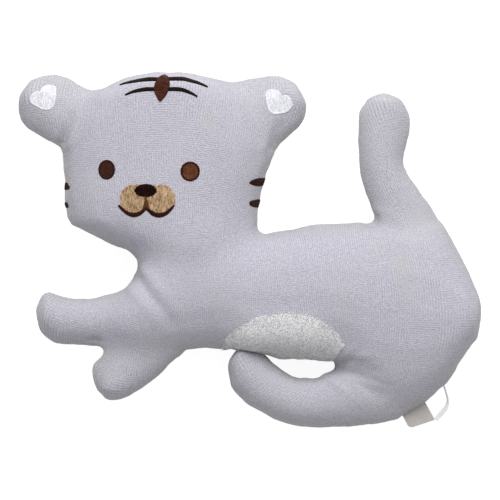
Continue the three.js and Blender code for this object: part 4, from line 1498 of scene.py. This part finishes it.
@dataclass
class BellyPatch:
    """The patch of longer, curlier terry on the belly: its knitted ground and its pile."""

    node: str = "belly_patch"
    depth: float = 7 * MM
    ground_rise: float = 0.45 * MM
    ground_thickness: float = 0.7 * MM
    fibres: int = 9900
    length: float = 0.95 * MM
    rim_length: float = 1.45 * MM
    rim_width: float = 1.6 * MM
    fibre_width: float = 0.22 * MM
    sunk: float = 0.05 * MM
    tuft: float = 1.3 * MM
    seed: int = 11

    def make(self, torso: bpy.types.Object) -> None:
        """Makes the ground and the pile.

        Args:
            torso: The finished cover of the torso.
        """
        ground = self._ground(torso)
        finish_with(ground, "DISPLACE", strength=self.ground_rise, mid_level=0)
        pile = self._pile(ground)
        finish_with(ground, "SOLIDIFY", thickness=self.ground_thickness, offset=0.0)
        material = LoosePile().material()
        for piece in (ground, pile):
            piece.data.materials.clear()
            piece.data.materials.append(material)
            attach(piece, "torso")
        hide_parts(self.node)
        LOG.info("belly patch: %d faces of ground, %d fibres", len(ground.data.polygons), self.fibres)

    def _ground(self, torso: bpy.types.Object) -> bpy.types.Object:
        """A copy of the part of the torso's cloth that lies under the patch."""
        ground = linked("belly_patch_ground", torso.data.copy())
        ground.data.name = ground.name
        patch = tree_over(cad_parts[self.node])
        inside = np.zeros(len(ground.data.vertices), bool)
        for index, (spot, normal) in enumerate(zip(places(ground), directions(ground))):
            heading = Vector(normal)
            hit = patch.ray_cast(Vector(spot) - heading * self.depth, heading, 2 * self.depth)[0]
            inside[index] = hit is not None
        with editing(ground, inside):
            bpy.ops.mesh.customdata_custom_splitnormals_clear()
            bpy.ops.mesh.select_all(action="INVERT")
            bpy.ops.mesh.delete(type="VERT")
        return ground

    def _pile(self, ground: bpy.types.Object) -> bpy.types.Object:
        """Short curled fibres all over the ground, which lean out over its rim."""
        chance = np.random.default_rng(self.seed)
        roots, ups = self._roots(ground, chance)
        roots = roots + ups * (self.ground_thickness / 2 - self.sunk)
        outward, nearness = self._rim(ground, roots)
        lean = np.array([noise.noise_vector(Vector(root) / self.tuft) for root in roots])
        lean += chance.normal(0, 0.35, lean.shape)
        lean = lean * (1 - 0.7 * nearness[:, None]) + outward * nearness[:, None]
        lean -= ups * (lean * ups).sum(axis=1, keepdims=True)
        length = self.length + (self.rim_length - self.length) * nearness
        length = length * chance.uniform(0.6, 1.25, len(roots))
        strand = Strand(3, (0.0, 0.35, 0.7, 1.0), (1.0, 0.45))
        share = strand.stations[None, :, None]
        curl = chance.normal(0, 0.42, lean.shape)
        curl -= ups * (curl * ups).sum(axis=1, keepdims=True)
        reach = length[:, None, None]
        lines = roots[:, None] + reach * (
            ups[:, None] * (0.6 * share - 0.45 * share**2)
            + lean[:, None] * (0.5 * share + 0.4 * share**2)
            + curl[:, None] * np.sin(share * math.pi)
        )
        level = np.broadcast_to(np.cross(ups, lean)[:, None], lines.shape)
        width = self.fibre_width * chance.uniform(0.7, 1.2, len(roots))
        return strand.laid("belly_patch_pile", lines, level, width[:, None], width[:, None])

    def _roots(self, ground: bpy.types.Object, chance: np.random.Generator) -> tuple[np.ndarray, np.ndarray]:
        """Random places on the ground with their outward directions."""
        mesh = ground.data
        mesh.calc_loop_triangles()
        triangles = np.array([list(triangle.vertices) for triangle in mesh.loop_triangles])
        areas = np.array([triangle.area for triangle in mesh.loop_triangles])
        points, ups = places(ground), directions(ground)
        chosen = triangles[chance.choice(len(triangles), self.fibres, p=areas / areas.sum())]
        shares = chance.dirichlet((1.0, 1.0, 1.0), self.fibres)[:, :, None]
        up = (ups[chosen] * shares).sum(axis=1)
        return (points[chosen] * shares).sum(axis=1), up / np.linalg.norm(up, axis=1, keepdims=True)

    def _rim(self, ground: bpy.types.Object, roots: np.ndarray) -> tuple[np.ndarray, np.ndarray]:
        """For each root the direction to the nearest rim and how near it is, from 0 to 1."""
        ends = read(ground.data.edges, "vertices", 2, int)
        count = np.bincount(read(ground.data.loops, "edge_index", kind=int), minlength=len(ends))
        rim = places(ground)[np.unique(ends[count == 1])]
        rim = rim[rim[:, 2] > PLAN.seam_height + 4 * MM]
        tree = KDTree(len(rim))
        for index, spot in enumerate(rim):
            tree.insert(Vector(spot), index)
        tree.balance()
        found = [tree.find(Vector(root)) for root in roots]
        centre = roots.mean(axis=0)
        toward = np.array([list(spot) for spot, _, _ in found]) - roots
        toward += 0.05 * (roots - centre)
        toward /= np.linalg.norm(toward, axis=1, keepdims=True)
        distance = np.array([gap for _, _, gap in found])
        return toward, np.exp(-((distance / self.rim_width) ** 2))


@dataclass
class CareLabel:
    """The folded tape in the seam under the rump, left bare, and the thin ribbon beside it."""

    node: str = "care_label"
    ribbon_node: str = "label_ribbon"
    seam_corners: tuple[tuple[float, float], tuple[float, float]] = ((400.4, 411.8), (423.6, 399.2))
    free_corners: tuple[tuple[float, float], tuple[float, float]] = ((409.2, 428.2), (434.9, 419.6))
    corner_round: float = 0.15
    layer: float = 0.28 * MM
    fold_gap: float = 0.5 * MM
    droop: float = 0.9 * MM
    ripple: float = 0.25 * MM
    ribbon: tuple[tuple[float, float, float, float], ...] = (
        (441.6, 380.0, 1.5, 26), (444.2, 387.0, 1.7, 30), (446.1, 393.0, 1.7, 34), (447.6, 399.0, 1.8, 42),
        (447.3, 404.5, 2.1, 60), (444.8, 409.3, 2.6, 78), (441.0, 413.8, 2.8, 82), (436.0, 419.4, 2.5, 70),
    )
    ribbon_thickness: float = 0.25 * MM

    def make(self) -> None:
        """Makes the label and the ribbon."""
        label = self._label()
        self._dress(label, LABEL_TAPE, "label_tape", self.node)
        ribbon = self._ribbon()
        self._dress(ribbon, RIBBON_TAPE, "ribbon_tape", self.ribbon_node)

    @staticmethod
    def _dress(piece: bpy.types.Object, tape: Tape, slot: str, node: str) -> None:
        """Gives a piece its tape and lets it ride on the label's body."""
        piece.data.materials.append(tape.material())
        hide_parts(node)
        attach(piece, "label")
        LOG.info("%s: %d faces", piece.name, len(piece.data.polygons))

    def _label(self) -> bpy.types.Object:
        """Two layers of tape that meet in a soft fold at the free end."""
        bpy.ops.object.select_all(action="DESELECT")
        bpy.ops.mesh.primitive_grid_add(x_subdivisions=24, y_subdivisions=40, size=1.0)
        label = bpy.context.object
        label.name = label.data.name = "folded_care_label"
        bpy.ops.object.transform_apply()
        flat = places(label) + 0.5
        side = 1 - 2 * np.abs(flat[:, 1] - 0.5)
        upper = np.where(flat[:, 1] > 0.5, 1.0, -1.0)
        along = flat[:, 0, None]
        seam, free = ([np.array(PLAN.spot(*corner)) for corner in corners]
                      for corners in (self.seam_corners, self.free_corners))
        rounding = self.corner_round * np.clip(1 - flat[:, 0] / self.corner_round, 0, 1) ** 2
        reach = (np.sin(side * math.pi / 2) ** 0.9 * (1 - rounding))[:, None]
        points = (1 - reach) * ((1 - along) * seam[0] + along * seam[1])
        points += reach * ((1 - along) * free[0] + along * free[1])
        gap = self.fold_gap / 2 * upper * np.sqrt(np.clip(1 - side**6, 0, 1)) * (0.35 + 0.65 * side)
        bow = self.droop * side**2 * np.sin(flat[:, 0] * math.pi * 0.9 + 0.3)
        ripple = self.ripple * np.sin(flat[:, 0] * 9.0) * side
        points[:, 2] = PLAN.seam_height + gap + bow * 0.5 + ripple
        place(label, points)
        finish_with(label, "SOLIDIFY", thickness=self.layer, offset=0.0)
        finish_with(label, "SUBSURF", levels=1, render_levels=1)
        activate(label)
        bpy.ops.object.shade_smooth()
        return label

    def _ribbon(self) -> bpy.types.Object:
        """A thin ribbon that stands on its edge at the seam and turns over towards its end."""
        rows = np.array([[*PLAN.spot(x, y), width * MM, turn] for x, y, width, turn in self.ribbon])
        rows = smooth_line(rows, 49)
        lines = rows[:, :3]
        turn = np.radians(rows[:, 4:5])
        along = np.gradient(lines, axis=0)
        along /= np.linalg.norm(along, axis=1, keepdims=True)
        ups = np.cos(turn) * np.cross(along, np.array(UP)) + np.sin(turn) * np.array(UP)
        strand = Strand(12, tuple(np.linspace(0, 1, len(rows))), (1.0, 1.0))
        return strand.laid("ribbon_loop", lines[None], ups[None], rows[None, :, 3], self.ribbon_thickness)


@dataclass
class Studio:
    """The plain pale floor, the soft light from above the crown, and the camera."""

    view_width: float = 305 * MM
    sensor: float = 36.0
    key_place: tuple[float, float, float] = (0.06, 0.95, 1.0)
    key_size: float = 0.9
    key_power: float = 15.5
    sky: float = 0.46
    bounce: Colour = (0.85, 0.85, 0.84, 1.0)
    backdrop: Colour = (0.32, 0.32, 0.32, 1.0)

    def make(self) -> None:
        """Sets up the floor, the light and the camera."""
        self._floor()
        self._key()
        self._sky()
        self._camera()
        bpy.context.scene.view_settings.view_transform = "Standard"

    def _floor(self) -> None:
        """A white floor that keeps the toy's shadow."""
        bpy.ops.mesh.primitive_plane_add(size=8.0)
        floor = bpy.context.object
        floor.name = "floor"
        recipe = Recipe("floor_paper")
        solid = recipe.solid
        grain = recipe.noise(solid, 2 * MM, detail=2.0)
        path = recipe.add("LightPath").outputs
        seen = recipe.maths("MAXIMUM", path["Is Camera Ray"], path["Is Glossy Ray"])
        bump = recipe.add("Bump", {"Height": grain, "Strength": 0.05, "Distance": 0.1 * MM})
        paper = recipe.mix(seen, self.bounce, self.backdrop)
        recipe.feed(recipe.shader, {"Base Color": paper, "Roughness": 0.9,
                                    "Normal": bump.outputs["Normal"], "Emission Color": (1.0, 1.0, 1.0, 1.0),
                                    "Emission Strength": recipe.maths("MULTIPLY", seen, 0.90)})
        floor.data.materials.append(recipe.material)

    def _key(self) -> None:
        """A large soft lamp above the crown of the head."""
        lamp = bpy.data.lights.new("key", "AREA")
        lamp.size = self.key_size
        lamp.energy = self.key_power
        obj = linked("key", lamp)
        obj.location = self.key_place
        aim = Vector((0, 0, PLAN.seam_height)) - Vector(self.key_place)
        obj.rotation_euler = aim.to_track_quat("-Z", "Y").to_euler()

    def _sky(self) -> None:
        """Even light from all round."""
        world = bpy.data.worlds.new("sky")
        bpy.context.scene.world = world
        world.use_nodes = True
        background = world.node_tree.nodes["Background"]
        background.inputs["Color"].default_value = (1.0, 1.0, 1.0, 1.0)
        background.inputs["Strength"].default_value = self.sky

    def _camera(self) -> None:
        """A long lens straight above the toy, with the crown at the top of the picture."""
        lens = bpy.data.cameras.new("camera")
        lens.sensor_width = self.sensor
        lens.lens = self.sensor * PLAN.distance / self.view_width
        camera = linked("camera", lens)
        camera.location = (*PLAN.centre, PLAN.seam_height + PLAN.distance)
        bpy.context.scene.camera = camera


def main() -> None:
    """Builds the tiger piece by piece."""
    logging.basicConfig(level=logging.INFO, format="%(name)s: %(message)s")
    Studio().make()
    covers = StuffedCover().make()
    embroidery = Embroidery(covers)
    for area in [*Face().areas(), *EarHearts().areas()]:
        embroidery.sew(area)
    BellyPatch().make(covers[Section.TORSO])
    CareLabel().make()


if __name__ == "__main__":
    main()
